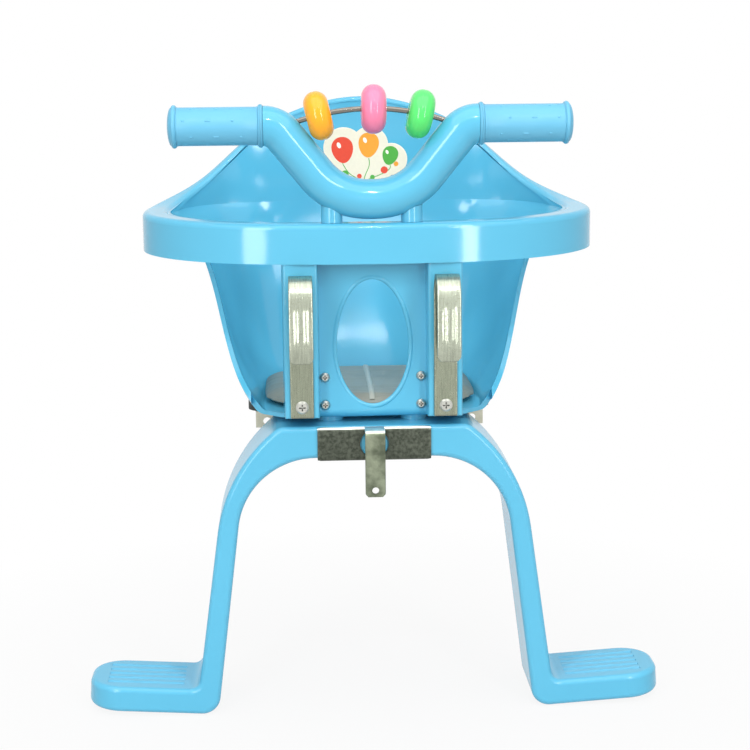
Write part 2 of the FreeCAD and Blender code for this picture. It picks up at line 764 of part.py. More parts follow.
def wire_rod(grow):
    """The bead wire's arc from one seat in the bar to the other, grown by a clearance."""
    bend = size("wire_arc_radius")
    reach = size("wire_half_span") + size("wire_seat")
    depth = size("bar_depth")
    center_height = size("wire_end_height") - math.sqrt(bend ** 2 - size("wire_half_span") ** 2)
    rise = math.sqrt(bend ** 2 - reach ** 2)
    ends = [Vector(x, depth, center_height + rise) for x in (-reach, reach)]
    top = Vector(0, depth, center_height + bend)
    along = Vector(rise, 0, reach)
    section = Part.Wire(Part.makeCircle(size("wire_radius") + grow, ends[0], along))
    return Part.Wire(Part.Arc(ends[0], top, ends[1]).toShape()).makePipeShell([section], True, False)


def handlebar():
    long = size("grip_inner_end") + size("spigot_length")
    start = Vector(-long, size("bar_depth"), size("bar_grip_height"))
    spigots = [Part.makeCylinder(size("spigot_radius"), size("spigot_length") + 1, start, Vector(1, 0, 0))]
    spigots.append(spigots[0].mirror(Vector(), Vector(1, 0, 0)))
    removed = [wire_rod(size("thread_clearance"))]
    for side in (-1, 1):
        place = Vector(side * size("post_offset"), size("bar_depth"), size("rim_height"))
        length = size("bar_screw_reach") - size("rim_height") + size("thread_out")
        removed.append(Part.makeCylinder(size("bar_screw_radius") + size("thread_clearance"), length, place))
    return bar_tube(0).fuse(spigots).cut(removed)


node("handlebar", moulded("Handlebar", handlebar()))
node("bead_wire", moulded("BeadWire", wire_rod(0)))
for side, sign in SIDES.items():
    name = "Grip" + side.title()
    core = {"Radius": "grip_radius", "Height": "grip_length - grip_dome"}
    collar = {"Radius": "grip_collar_radius", "Height": "grip_collar_width"}
    flange = {"Radius": "grip_collar_radius", "Height": "grip_flange_width"}
    dome = {"Radius1": "grip_dome", "Radius2": "grip_radius", "Radius3": "grip_radius"}
    sleeve = fuse(name + "Sleeve", [
        solid("Cylinder", name + "Core", core, START),
        solid("Cylinder", name + "Collar", collar, START),
        solid("Cylinder", name + "Flange", flange, ("0", "0", "grip_flange_place")),
        solid("Ellipsoid", name + "Dome", dome, ("0", "0", "grip_length - grip_dome")),
    ])
    bore = hole(name + "Bore", "spigot_radius + grip_clearance", "spigot_length + grip_clearance", START)
    at = (sign + " * grip_inner_end", "bar_depth", "bar_grip_height")
    node("grip_" + side, bind(cut(name, sleeve, bore), {}, at, Rotation(Vector(0, 1, 0), 90 * int(sign))))

bar_screws = []
RIM_AT_POST = "rim_height + 2 * thread_clearance"
UNDER_RIM = "(rim_height - wall - thread_clearance)"
for side, sign in SIDES.items():
    name = "Post" + side.title()
    place = sign + " * post_offset"
    sizes = {"Radius": "post_radius", "Height": "bar_grip_height - rim_height"}
    sleeve = solid("Cylinder", name + "Sleeve", sizes, (place, "bar_depth", RIM_AT_POST))
    at = (place, "bar_depth", "0")
    bore = hole(name + "Bore", "bar_screw_radius + hole_clearance", "bar_grip_height", at)
    saddle = moulded(name + "Saddle", bar_tube(size("grip_clearance")))
    sizes = {"Length": "4 * post_radius", "Width": "4 * post_radius", "Height": "bar_grip_height"}
    corner = (place + " - 2 * post_radius", "bar_depth - 2 * post_radius", "bar_low_height + post_radius")
    above = solid("Box", name + "Above", sizes, corner)
    node("bar_post_" + side, cut(name, sleeve, fuse(name + "Removed", [bore, saddle, above])))
    length = "bar_screw_reach - %s" % UNDER_RIM
    at = (place, "bar_depth", UNDER_RIM)
    screw = pan_screw("BarScrew" + side.title(), "bar_screw_radius", "bar_screw_head", length, at)
    bar_screws.append(screw)
node("bar_screws", group("BarScrews", bar_screws))

# Play beads: thick discs with a full-round edge that hang and turn on the wire.


def bead_disc():
    """Half section with a round outer edge, turned about the bead's own axis."""
    half = size("bead_thickness") / 2
    flat = size("bead_radius") - half
    low = Vector(flat, 0, -half)
    high = Vector(flat, 0, half)
    bottom = Vector(0, 0, -half)
    top = Vector(0, 0, half)
    round_edge = Part.Arc(low, Vector(flat + half, 0, 0), high).toShape()
    edges = [Part.makeLine(bottom, low), round_edge, Part.makeLine(high, top), Part.makeLine(top, bottom)]
    return Part.Face(Part.Wire(edges)).revolve(Vector(), Vector(0, 0, 1), 360)


for colour in ("orange", "pink", "green"):
    name = "Bead" + colour.title()
    offset = colour + "_bead_offset"
    disc = moulded(name + "Disc", bead_disc())
    bore = hole(name + "Bore", "bead_bore_radius", "2 * bead_thickness", ("0", "0", "-bead_thickness"))
    rise = "sqrt(wire_arc_radius ^ 2 - %s ^ 2)" % offset
    foot = "sqrt(wire_arc_radius ^ 2 - wire_half_span ^ 2)"
    share = "(1 - bead_hang / wire_arc_radius)"
    at = ("%s * %s" % (offset, share), "bar_depth", "wire_end_height - %s + %s * %s" % (foot, rise, share))
    lean = math.degrees(math.asin(size(offset) / size("wire_arc_radius")))
    node("bead_" + colour, bind(cut(name, disc, bore), {}, at, Rotation(Vector(0, 1, 0), 90 + lean)))

# Footrest frame: a plank under the seat that bends into two splayed legs with a grooved peg each.


def meet(place, along, other, across):
    """Where two lines in the frame's upright plane cross."""
    gap = other - place
    turn = along.x * across.z - along.z * across.x
    return place + along * ((gap.x * across.z - gap.z * across.x) / turn)


def slope(angle):
    return Vector(math.cos(math.radians(angle)), 0, math.sin(math.radians(angle)))


def frame_half():
    """Right half of the frame, its outline drawn in front and carried back over the depth."""
    front = size("frame_front")
    depth = size("frame_depth")
    top = -size("plank_top")
    low = top - size("plank_thickness")
    outer = size("leg_outer_bend")
    inner = size("leg_inner_bend")
    shoulder = Vector(size("plank_half_width"), front, top)
    outer_center = shoulder - slope(size("shoulder_angle")) * outer
    outer_bends = [(size("shoulder_angle") + size("leg_outer_splay")) / 2, size("leg_outer_splay")]
    outer_arc = [shoulder] + [outer_center + slope(angle) * outer for angle in outer_bends]
    inner_center = Vector(size("leg_inner_start"), front, low - inner)
    inner_bends = [size("leg_inner_splay"), (90 + size("leg_inner_splay")) / 2, 90]
    inner_arc = [inner_center + slope(angle) * inner for angle in inner_bends]
    along_peg = slope(size("peg_tilt"))
    tip = Vector(size("peg_reach"), front, -size("peg_end_depth"))
    under = tip + slope(size("peg_tilt") - 90) * size("peg_thickness")
    root = meet(outer_arc[2], slope(size("leg_outer_splay") - 90), tip, along_peg)
    heel = meet(inner_arc[0], slope(size("leg_inner_splay") - 90), under, along_peg)
    edges = [Part.makeLine(Vector(0, front, top), shoulder), Part.Arc(*outer_arc).toShape()]
    run = [outer_arc[2], root, tip, under, heel, inner_arc[0]]
    edges += [Part.makeLine(a, b) for a, b in zip(run, run[1:])]
    edges += [Part.Arc(*inner_arc).toShape(), Part.makeLine(inner_arc[2], Vector(0, front, low))]
    edges += [Part.makeLine(Vector(0, front, low), Vector(0, front, top))]
    half = Part.Face(Part.Wire(edges)).extrude(Vector(0, depth, 0))
    across = Vector(0, depth / 2, 0)
    rounded = ((shoulder, "shoulder_radius"), (root, "peg_root_radius"), (heel, "peg_heel_radius"))
    for corner, alias in rounded:
        half = half.makeFillet(size(alias), [nearest_edge(half, corner + across)])
    end = (tip + under) / 2
    ends = [nearest_edge(half, end), nearest_edge(half, end + across * 2)]
    half = half.makeFillet(size("peg_end_radius"), ends)
    faces = (front, front + depth)
    outline = []
    for edge in half.Edges:
        lies = [all(abs(v.Y - y) < CLOSE for v in edge.Vertexes) for y in faces]
        if edge.CenterOfMass.x > CLOSE and any(lies):
            outline.append(edge)
    half = half.makeFillet(size("frame_edge_radius"), outline)
    return half.cut(peg_grooves(root, tip, along_peg))


def nearest_edge(shape, place):
    return min(shape.Edges, key=lambda edge: edge.CenterOfMass.distanceToPoint(place))


def peg_grooves(root, tip, along):
    """Round-bottomed grooves along the top of a peg, spread over its depth."""
    radius = size("groove_radius")
    spacing = size("groove_spacing")
    count = int((size("frame_depth") - size("peg_end_radius")) / spacing) + 1
    lift = slope(size("peg_tilt") + 90) * (radius - size("groove_depth"))
    first = root + along * size("groove_inner_margin") + lift
    length = (tip - root).Length - size("groove_inner_margin") - size("groove_outer_margin")
    grooves = []
    for i in range(count):
        place = first + Vector(0, size("frame_depth") / 2 + (i - (count - 1) / 2) * spacing, 0)
        grooves.append(Part.makeCylinder(radius, length, place, along))
    return grooves


def footrest_frame():
    half = frame_half()
    bolt = size("bolt_radius") + size("hole_clearance")
    length = size("plank_thickness") + 2 * bolt
    bores = []
    for side in (-1, 1):
        foot = bolt - length - size("plank_top")
        place = Vector(side * size("seat_bolt_offset"), size("seat_bolt_place"), foot)
        bores.append(Part.makeCylinder(bolt, length, place))
    return half.fuse(half.mirror(Vector(), Vector(1, 0, 0))).removeSplitter().cut(bores)


node("footrest_frame", moulded("FootrestFrame", footrest_frame()))

# Stem bracket: a plate folded under the plank, pierced in front, with a strap that stands forward
# from its upper edge and goes down to clamp round the bicycle's stem.

PLANK_LOW = "(plank_top + plank_thickness)"
PLATE_FRONT = "(frame_front - bracket_thickness)"
STRAP_FRONT = "(frame_front - bracket_thickness - strap_forward)"
BRACKET_LOW = "-%s - bracket_thickness" % PLANK_LOW
plate = {"Length": "2 * bracket_half_width", "Width": "bracket_thickness"}
plate["Height"] = "plank_thickness + bracket_thickness"
leg = {"Length": "2 * bracket_half_width", "Width": "bracket_leg", "Height": "bracket_thickness"}
arm = {"Length": "strap_width", "Width": "strap_forward + bracket_thickness", "Height": "bracket_thickness"}
drop = {"Length": "strap_width", "Width": "bracket_thickness", "Height": "strap_drop - plank_top"}
bracket = fuse("BracketBlank", [
    solid("Box", "BracketPlate", plate, ("-bracket_half_width", PLATE_FRONT, BRACKET_LOW)),
    solid("Box", "BracketLeg", leg, ("-bracket_half_width", PLATE_FRONT, BRACKET_LOW)),
    solid("Box", "StrapArm", arm, ("-strap_width / 2", STRAP_FRONT, "-plank_top - bracket_thickness")),
    solid("Box", "StrapDrop", drop, ("-strap_width / 2", STRAP_FRONT, "-strap_drop")),
])
bracket_holes = [
    hole("StemHole", "bracket_hole_radius", "3 * bracket_thickness",
         ("0", "frame_front - 2 * bracket_thickness", "-bracket_hole_depth"), ALONG_Y),
    hole("StrapHole", "strap_hole_radius", "3 * bracket_thickness",
         ("0", STRAP_FRONT + " - bracket_thickness", "-strap_hole_depth"), ALONG_Y),
]
seat_bolts = []
seat_nuts = []
rest_bolts = []
rest_nuts = []
rest_pad_holes = []
rest_bar_holes = []
BOLT_HOLE = "bolt_radius + hole_clearance"
REST_TOP = "(floor_depth + wall + rest_pad_thickness)"
REST_PLACE = "(rest_pad_front + rest_bar_depth / 2)"
for side, sign in SIDES.items():
    name = side.title()
    at = (sign + " * seat_bolt_offset", "seat_bolt_place")
    low = at + (BRACKET_LOW + " - bracket_thickness",)
    bracket_holes.append(hole("LegHole" + name, BOLT_HOLE, "3 * bracket_thickness", low))
    length = PLANK_LOW + " + bracket_thickness + bolt_nut_height + thread_out - floor_depth"
    seat_bolts.append(sunk_bolt("SeatBolt" + name, length, at + ("-floor_depth",)))
    below = at + (BRACKET_LOW + " - bolt_nut_height",)
    seat_nuts.append(nut("SeatNut" + name, "bolt_nut_radius", "bolt_nut_height", "bolt_radius", below))
    at = (sign + " * rest_bolt_offset", REST_PLACE)
    length = REST_TOP + " + rest_bar_thickness + bolt_nut_height + thread_out - floor_depth"
    rest_bolts.append(sunk_bolt("RestBolt" + name, length, at + ("-floor_depth",)))
    below = at + ("-%s - rest_bar_thickness - bolt_nut_height" % REST_TOP,)
    rest_nuts.append(nut("RestNut" + name, "bolt_nut_radius", "bolt_nut_height", "bolt_radius", below))
    low = at + ("-%s - rest_pad_thickness / 2" % REST_TOP,)
    rest_pad_holes.append(hole("RestPadHole" + name, BOLT_HOLE, "2 * rest_pad_thickness", low))
    low = at + ("-%s - 2 * rest_bar_thickness" % REST_TOP,)
    rest_bar_holes.append(hole("RestBarHole" + name, BOLT_HOLE, "3 * rest_bar_thickness", low))
    end = "%s * (rest_bar_half_length - rest_hole_inset)" % sign
    low = (end, "rest_pad_front - rest_bar_thickness", "-%s - rest_hole_drop" % REST_TOP)
    end_hole = hole("RestEndHole" + name, "rest_hole_radius", "3 * rest_bar_thickness", low, ALONG_Y)
    rest_bar_holes.append(end_hole)
node("stem_bracket", cut("StemBracket", bracket, fuse("BracketHoles", bracket_holes)))
node("seat_bolts", group("SeatBolts", seat_bolts))
node("seat_nuts", group("SeatNuts", seat_nuts))

# Rest under the seat: a zinc-plated angle bar with a rubber pad on it.

straight = "(rest_pad_half_length - rest_pad_depth / 2)"
middle = {"Length": "2 * " + straight, "Width": "rest_pad_depth", "Height": "rest_pad_thickness"}
pad = [solid("Box", "RestPadMiddle", middle, ("-" + straight, "rest_pad_front", "-" + REST_TOP))]
for side, sign in SIDES.items():
    end = {"Radius": "rest_pad_depth / 2", "Height": "rest_pad_thickness"}
    at = ("%s * %s" % (sign, straight), "rest_pad_front + rest_pad_depth / 2", "-" + REST_TOP)
    pad.append(solid("Cylinder", "RestPadEnd" + side.title(), end, at))
node("rest_pad", cut("RestPad", fuse("RestPadBlank", pad), fuse("RestPadHoles", rest_pad_holes)))
web = {"Length": "2 * rest_bar_half_length", "Width": "rest_bar_depth", "Height": "rest_bar_thickness"}
flange = {"Length": "2 * rest_bar_half_length", "Width": "rest_bar_thickness", "Height": "rest_bar_flange"}
web_low = "-%s - rest_bar_thickness" % REST_TOP
flange_low = "-%s - rest_bar_flange" % REST_TOP
angle = fuse("RestBarBlank", [
    solid("Box", "RestBarWeb", web, ("-rest_bar_half_length", "rest_pad_front", web_low)),
    solid("Box", "RestBarFlange", flange, ("-rest_bar_half_length", "rest_pad_front", flange_low)),
])
node("rest_bar", cut("RestBar", angle, fuse("RestBarHoles", rest_bar_holes)))
node("rest_bolts", group("RestBolts", rest_bolts))
node("rest_nuts", group("RestNuts", rest_nuts))

# Seat pad: vinyl over foam that lies on the floor, with elliptical front corners.


def seat_pad():
    half = size("pad_half_width")
    front = size("pad_front")
    back = size("pad_back")
    bottom = size("pad_clearance") - size("floor_depth")
    wide = size("pad_front_corner_width")
    deep = size("pad_front_corner_depth")
    round_back = size("pad_back_corner_radius")
    inset = round_back * (1 - math.sqrt(0.5))
    edges = []
    for side in (-1, 1):
        middle = Vector(side * (half - wide), front + deep, bottom)
        ellipse = Part.Ellipse(middle - Vector(0, deep, 0), middle + Vector(side * wide, 0, 0), middle)
        edges.append(Part.ArcOfEllipse(ellipse, 0, math.pi / 2).toShape())
        turn = [Vector(side * half, back - round_back, bottom)]
        turn.append(Vector(side * (half - inset), back - inset, bottom))
        turn.append(Vector(side * (half - round_back), back, bottom))
        edges.append(Part.Arc(*turn).toShape())
        edges.append(Part.makeLine(middle + Vector(side * wide, 0, 0), turn[0]))
    for y, reach in ((front, half - wide), (back, half - round_back)):
        edges.append(Part.makeLine(Vector(-reach, y, bottom), Vector(reach, y, bottom)))
    outline = Part.Wire(Part.__sortEdges__(edges))
    pad = Part.Face(outline).extrude(Vector(0, 0, size("pad_thickness")))
    rims = [e for e in pad.Edges if e.BoundBox.ZLength < CLOSE]
    return pad.makeFillet(size("pad_edge_radius"), rims)


node("seat_pad", moulded("SeatPad", seat_pad()))

# Decal: a thin plastic film on the inside of the back, bent to the wall.


def back_decal():
    """The film's two faces follow the inside of the wall, found by steps round the rim."""
    steps = 4
    tries = 20
    curves = []
    half = size("decal_width") / 2
    for lift in (size("decal_clearance"), size("decal_clearance") + size("decal_thickness")):
        points = []
        for i in range(-steps, steps + 1):
            reach = half * i / steps
            turn = math.pi / 2
            for _ in range(tries):
                place = rim_edge(turn) + rim_inward(turn) * (rim_flange(turn) - roll_step + lift)
                turn += (place.x - reach) / size("rim_half_width")
            points.append(Vector(place.x, place.y, size("decal_bottom")))
        curve = Part.BSplineCurve()
        curve.interpolate(points)
        curves.append(curve.toShape())
    ends = [Part.makeLine(*(curve.Vertexes[i].Point for curve in curves)) for i in (0, 1)]
    film = Part.Face(Part.Wire(Part.__sortEdges__(curves + ends)))
    return film.extrude(Vector(0, 0, size("decal_height")))


node("back_decal", moulded("BackDecal", back_decal()))

# Write every finished sub-part.

doc.recompute()
for thing in doc.Objects:
    if "Invalid" in thing.State or "Error" in thing.State:
        raise RuntimeError("%s failed: %s" % (thing.Name, thing.State))
os.makedirs("parts", exist_ok=True)
for thing in nodes:
    if thing.Shape.isNull() or not thing.Shape.isValid():
        raise RuntimeError("%s has no valid shape" % thing.Label)
    thing.Shape.exportStep("parts/%s.step" % thing.Label)
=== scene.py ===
import json
import math

import bmesh
import bpy
from mathutils import Matrix, Vector
from mathutils.bvhtree import BVHTree


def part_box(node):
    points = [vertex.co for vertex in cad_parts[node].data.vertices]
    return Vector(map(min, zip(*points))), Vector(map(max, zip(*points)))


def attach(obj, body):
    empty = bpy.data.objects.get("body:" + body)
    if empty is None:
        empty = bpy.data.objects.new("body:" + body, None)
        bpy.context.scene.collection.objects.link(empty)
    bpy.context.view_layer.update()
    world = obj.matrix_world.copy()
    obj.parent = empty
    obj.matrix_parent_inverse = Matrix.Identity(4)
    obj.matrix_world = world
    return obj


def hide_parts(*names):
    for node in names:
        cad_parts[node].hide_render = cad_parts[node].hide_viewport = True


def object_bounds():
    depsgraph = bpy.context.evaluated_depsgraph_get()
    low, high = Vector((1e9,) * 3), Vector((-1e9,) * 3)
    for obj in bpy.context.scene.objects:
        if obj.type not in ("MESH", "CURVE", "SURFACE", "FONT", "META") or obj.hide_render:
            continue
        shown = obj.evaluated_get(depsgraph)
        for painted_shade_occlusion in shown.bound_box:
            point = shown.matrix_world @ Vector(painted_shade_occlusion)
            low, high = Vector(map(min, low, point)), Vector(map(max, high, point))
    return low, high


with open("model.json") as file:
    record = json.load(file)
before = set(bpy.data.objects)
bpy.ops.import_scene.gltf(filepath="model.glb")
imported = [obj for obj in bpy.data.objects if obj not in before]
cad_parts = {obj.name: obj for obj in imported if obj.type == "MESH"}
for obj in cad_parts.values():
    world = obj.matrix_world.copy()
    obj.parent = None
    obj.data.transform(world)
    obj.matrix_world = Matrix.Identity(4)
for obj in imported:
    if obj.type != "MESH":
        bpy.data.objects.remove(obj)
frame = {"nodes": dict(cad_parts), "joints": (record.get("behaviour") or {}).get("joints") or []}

cad_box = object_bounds()

# Seat shell: one injection moulding of blue polypropylene, with the rim, the rails and the
# front panel in one piece. Its polished mould gives a wet gloss with a faint long ripple.

nodes = frame["nodes"]
mm = 0.001


def linear(code):
    """An sRGB hex colour as the linear values that the shaders take."""
    shares = [int(code[i:i + 2], 16) / 255 for i in (1, 3, 5)]
    return tuple(s / 12.92 if s <= 0.04045 else ((s + 0.055) / 1.055) ** 2.4 for s in shares) + (1.0,)


def add(tree, kind, inputs=None, **settings):
    """A shader node with its settings, and its sockets set to values or linked to other sockets."""
    made = tree.nodes.new(kind)
    for name, value in settings.items():
        setattr(made, name, value)
    for socket, value in (inputs or {}).items():
        if isinstance(value, bpy.types.NodeSocket):
            tree.links.new(value, made.inputs[socket])
        else:
            made.inputs[socket].default_value = value
    return made


def start_material(name):
    """An empty material: itself, its tree and the object's own coordinates."""
    made = bpy.data.materials.new(name)
    made.use_nodes = True
    tree = made.node_tree
    tree.nodes.clear()
    return made, tree, add(tree, "ShaderNodeTexCoord").outputs["Object"]


def moulded_plastic(name, light, dark, roughness, ripple, grain):
    """Moulded plastic: a slow change of tone, a long ripple and a fine grain from the mould, their
    heights in millimetres. The grain is drawn coarser than it is, so that it shows."""
    made, tree, place = start_material(name)
    # Sockets 6 and 7 of a colour mix are its two colours.
    cloud = add(tree, "ShaderNodeTexNoise", {"Vector": place, "Scale": 1 / (90 * mm), "Detail": 2.0})
    tone = add(tree, "ShaderNodeMix", {"Factor": cloud.outputs[0], 6: linear(light), 7: linear(dark)},
               data_type="RGBA")
    waves = add(tree, "ShaderNodeTexNoise", {"Vector": place, "Scale": 1 / (45 * mm), "Detail": 1.0})
    specks = add(tree, "ShaderNodeTexNoise", {"Vector": place, "Scale": 1 / (0.9 * mm), "Detail": 2.0})
    long = add(tree, "ShaderNodeBump", {
        "Height": waves.outputs[0], "Strength": 1.0, "Distance": ripple * mm})
    fine = add(tree, "ShaderNodeBump", {
        "Height": specks.outputs[0], "Strength": 1.0, "Distance": grain * mm, "Normal": long.outputs[0]})
    wear = add(tree, "ShaderNodeMapRange", {
        "Value": specks.outputs[0], "To Min": roughness - 0.03, "To Max": roughness + 0.04})
    surface = add(tree, "ShaderNodeBsdfPrincipled", {
        "Base Color": tone.outputs[2], "Roughness": wear.outputs[0], "IOR": 1.49,
        "Normal": fine.outputs[0]})
    add(tree, "ShaderNodeOutputMaterial", {"Surface": surface.outputs[0]})
    return made


def dress(node, made):
    """A CAD piece keeps its shape and gets a finish."""
    nodes[node].data.materials.clear()
    nodes[node].data.materials.append(made)


# Polypropylene from a polished mould: clear sky blue under a wet gloss.
blue_polypropylene = moulded_plastic("blue_polypropylene", "#5BB5D5", "#53AECF", 0.10, 0.25, 0.003)
dress("seat_shell", blue_polypropylene)

# Window lip: the rounded edge of the front panel's egg-shaped window, moulded with the shell.
# It stands a little proud of the panel and takes a line of light all round.

lip_radius = 1.9 * mm
lip_depth = 32.2 * mm
window_half = 29 * mm
window_top = 11 * mm
window_middle = -42 * mm
window_low = -88 * mm
lip_steps = 96
lip_section = 12


def new_piece(name, points, faces, made):
    """A mesh of points and faces in one material, put in the scene."""
    mesh = bpy.data.meshes.new(name)
    mesh.from_pydata(points, [], faces)
    mesh.validate()
    mesh.materials.append(made)
    piece = bpy.data.objects.new(name, mesh)
    bpy.context.scene.collection.objects.link(piece)
    return piece


def ring_faces(rings, count):
    """Quads between rings of points that each hold the same count."""
    faces = []
    for r in range(rings - 1):
        for i in range(count):
            j = (i + 1) % count
            faces.append((r * count + i, r * count + j, (r + 1) * count + j, (r + 1) * count + i))
    return faces


def loop_faces(rings, count):
    """Quads round a closed sweep, the last ring joined to the first."""
    last = (rings - 1) * count
    closing = [(last + i, last + (i + 1) % count, (i + 1) % count, i) for i in range(count)]
    return ring_faces(rings, count) + closing


def smooth(piece):
    for polygon in piece.data.polygons:
        polygon.use_smooth = True


def window_lip():
    """Rings of points round the window, half an ellipse above its widest place and half below."""
    points = []
    for i in range(lip_steps):
        turn = 2 * math.pi * i / lip_steps
        tall = window_top - window_middle if math.sin(turn) > 0 else window_middle - window_low
        edge = Vector((window_half * math.cos(turn), 0, window_middle + tall * math.sin(turn)))
        out = Vector((math.cos(turn) / window_half, 0, math.sin(turn) / tall)).normalized()
        for k in range(lip_section):
            a = 2 * math.pi * k / lip_section
            aside = edge + out * (lip_radius * math.cos(a))
            points.append(aside + Vector((0, lip_depth + lip_radius * math.sin(a), 0)))
    return points


lip = new_piece("window_lip", window_lip(), loop_faces(lip_steps, lip_section), blue_polypropylene)
smooth(lip)
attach(lip, "seat")

# Seat pad: soft grey vinyl welded over a foam core. It lies loose on the floor of the bucket,
# crowned on top and flat below.

pad_low, pad_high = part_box("seat_pad")
pad_shrink = 2.5 * mm
pad_corner_width = 45 * mm
pad_corner_depth = 50 * mm
pad_corner_steps = 10
pad_back_radius = 40 * mm
pad_voxel = 4.5 * mm
pad_pressure = 4
pad_steps = 20
pad_cap = 4 * mm
pad_crown = 1.5 * mm


def pad_outline(count):
    """Plan points of the pad: elliptical front corners, round back corners."""
    half = pad_high.x - pad_shrink
    front = pad_low.y + pad_shrink
    back = pad_high.y - pad_shrink
    points = []
    for i in range(count + 1):
        turn = math.pi / 2 * i / count
        points.append((half - pad_corner_width + pad_corner_width * math.sin(turn),
                       front + pad_corner_depth - pad_corner_depth * math.cos(turn)))
    for i in range(count + 1):
        turn = math.pi / 2 * i / count
        points.append((half - pad_back_radius + pad_back_radius * math.cos(turn),
                       back - pad_back_radius + pad_back_radius * math.sin(turn)))
    return points + [(-x, y) for x, y in reversed(points)]


def apply_modifiers(piece):
    bpy.context.view_layer.objects.active = piece
    for modifier in list(piece.modifiers):
        bpy.ops.object.modifier_apply(modifier=modifier.name)


def pad_body(made):
    """The closed cushion before it swells, as levels of (share of the plan, share of the height)."""
    outline = pad_outline(pad_corner_steps)
    middle = (pad_low.y + pad_high.y) / 2
    thick = pad_high.z - pad_low.z - 2 * pad_shrink
    bottom = pad_low.z + pad_shrink
    levels = [(0.3, 0), (0.7, 0), (0.97, 0), (1, 0.15), (1, 0.55)]
    levels += [(0.97, 0.8), (0.88, 0.93), (0.6, 1), (0.3, 1)]
    points = []
    for share, rise in levels:
        points += [(x * share, middle + (y - middle) * share, bottom + thick * rise) for x, y in outline]
    count = len(outline)
    faces = ring_faces(len(levels), count)
    faces += [tuple(reversed(range(count))), tuple(range((len(levels) - 1) * count, len(levels) * count))]
    return new_piece("seat_pad_cushion", points, faces, made)


def swell(piece):
    """Let the pad's cover swell under the foam's pressure, by no more than the cap."""
    remesh = piece.modifiers.new("even_cover", "REMESH")
    remesh.mode = "VOXEL"
    remesh.voxel_size = pad_voxel
    apply_modifiers(piece)
    before = [v.co.copy() for v in piece.data.vertices]
    cloth = piece.modifiers.new("foam_pressure", "CLOTH")
    cloth.settings.use_pressure = True
    cloth.settings.uniform_pressure_force = pad_pressure
    cloth.settings.effector_weights.gravity = 0
    cloth.point_cache.frame_start = 1
    cloth.point_cache.frame_end = pad_steps
    for step in range(1, pad_steps + 1):
        bpy.context.scene.frame_set(step)
    apply_modifiers(piece)
    bpy.context.scene.frame_set(1)
    for vertex, old in zip(piece.data.vertices, before):
        move = vertex.co - old
        if move.length > pad_cap:
            vertex.co = old + move * (pad_cap / move.length)
        vertex.co.z = min(max(vertex.co.z, pad_low.z), pad_high.z + pad_crown)


def fit_plan(piece):
    """Stretch the cushion in plan to the size that it is cut to."""
    for axis in (0, 1):
        low = min(v.co[axis] for v in piece.data.vertices)
        high = max(v.co[axis] for v in piece.data.vertices)
        share = (pad_high[axis] - pad_low[axis]) / (high - low)
        for vertex in piece.data.vertices:
            vertex.co[axis] = pad_low[axis] + (vertex.co[axis] - low) * share


def grey_vinyl(name):
    """Embossed vinyl: pebble grain about 1 mm across and shallow creases across the pad."""
    made, tree, place = start_material(name)
    pebbles = add(tree, "ShaderNodeTexVoronoi", {"Vector": place, "Scale": 1 / (1.1 * mm)})
    stretch = add(tree, "ShaderNodeMapping", {"Vector": place, "Scale": (0.25, 1.6, 1.0)})
    creases = add(tree, "ShaderNodeTexNoise", {
        "Vector": stretch.outputs[0], "Scale": 1 / (22 * mm), "Detail": 3.0})
    patches = add(tree, "ShaderNodeTexNoise", {"Vector": place, "Scale": 1 / (30 * mm), "Detail": 2.0})
    tone = add(tree, "ShaderNodeMix", {
        "Factor": patches.outputs[0], 6: linear("#777B72"), 7: linear("#878B80")}, data_type="RGBA")
    folds = add(tree, "ShaderNodeBump", {
        "Height": creases.outputs[0], "Strength": 1.0, "Distance": 2.2 * mm})
    grain = add(tree, "ShaderNodeBump", {
        "Height": pebbles.outputs[0], "Strength": 0.35, "Distance": 0.12 * mm, "Normal": folds.outputs[0]})
    surface = add(tree, "ShaderNodeBsdfPrincipled", {
        "Base Color": tone.outputs[2], "Roughness": 0.38, "IOR": 1.5, "Normal": grain.outputs[0]})
    add(tree, "ShaderNodeOutputMaterial", {"Surface": surface.outputs[0]})
    return made


seat_pad = pad_body(grey_vinyl("embossed_grey_vinyl"))
swell(seat_pad)
subdivide = seat_pad.modifiers.new("fine_cover", "SUBSURF")
subdivide.levels = 1
apply_modifiers(seat_pad)
fit_plan(seat_pad)
smooth(seat_pad)
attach(seat_pad, "seat")
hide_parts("seat_pad")

# Pad welt: a flat strip down the pad's middle, where the cover's two halves are heat welded.
# It follows the crown from front to back and is smoother and paler than the cover.

welt_width = 5 * mm
welt_rise = 0.9 * mm
welt_end = 3 * mm
welt_steps = 40


def pad_welt(made):
    """A shallow section, as (share of the width, share of the rise), laid on the pad's top."""
    places = [v.co for v in seat_pad.data.vertices]
    cover = BVHTree.FromPolygons(places, [p.vertices for p in seat_pad.data.polygons])
    section = [(-0.5, -0.6), (-0.42, 0.3), (-0.3, 0.9), (0, 1), (0.3, 0.9), (0.42, 0.3), (0.5, -0.6)]
    points = []
    for step in range(welt_steps + 1):
        y = pad_low.y + welt_end + (pad_high.y - pad_low.y - 2 * welt_end) * step / welt_steps
        for across, rise in section:
            x = across * welt_width
            hit = cover.ray_cast(Vector((x, y, 1)), Vector((0, 0, -1)))[0]
            points.append((x, y, hit.z + rise * welt_rise))
    count = len(section)
    faces = []
    for step in range(welt_steps):
        for i in range(count - 1):
            first = step * count + i
            faces.append((first, first + 1, first + count + 1, first + count))
    return new_piece("seat_pad_welt", points, faces, made)


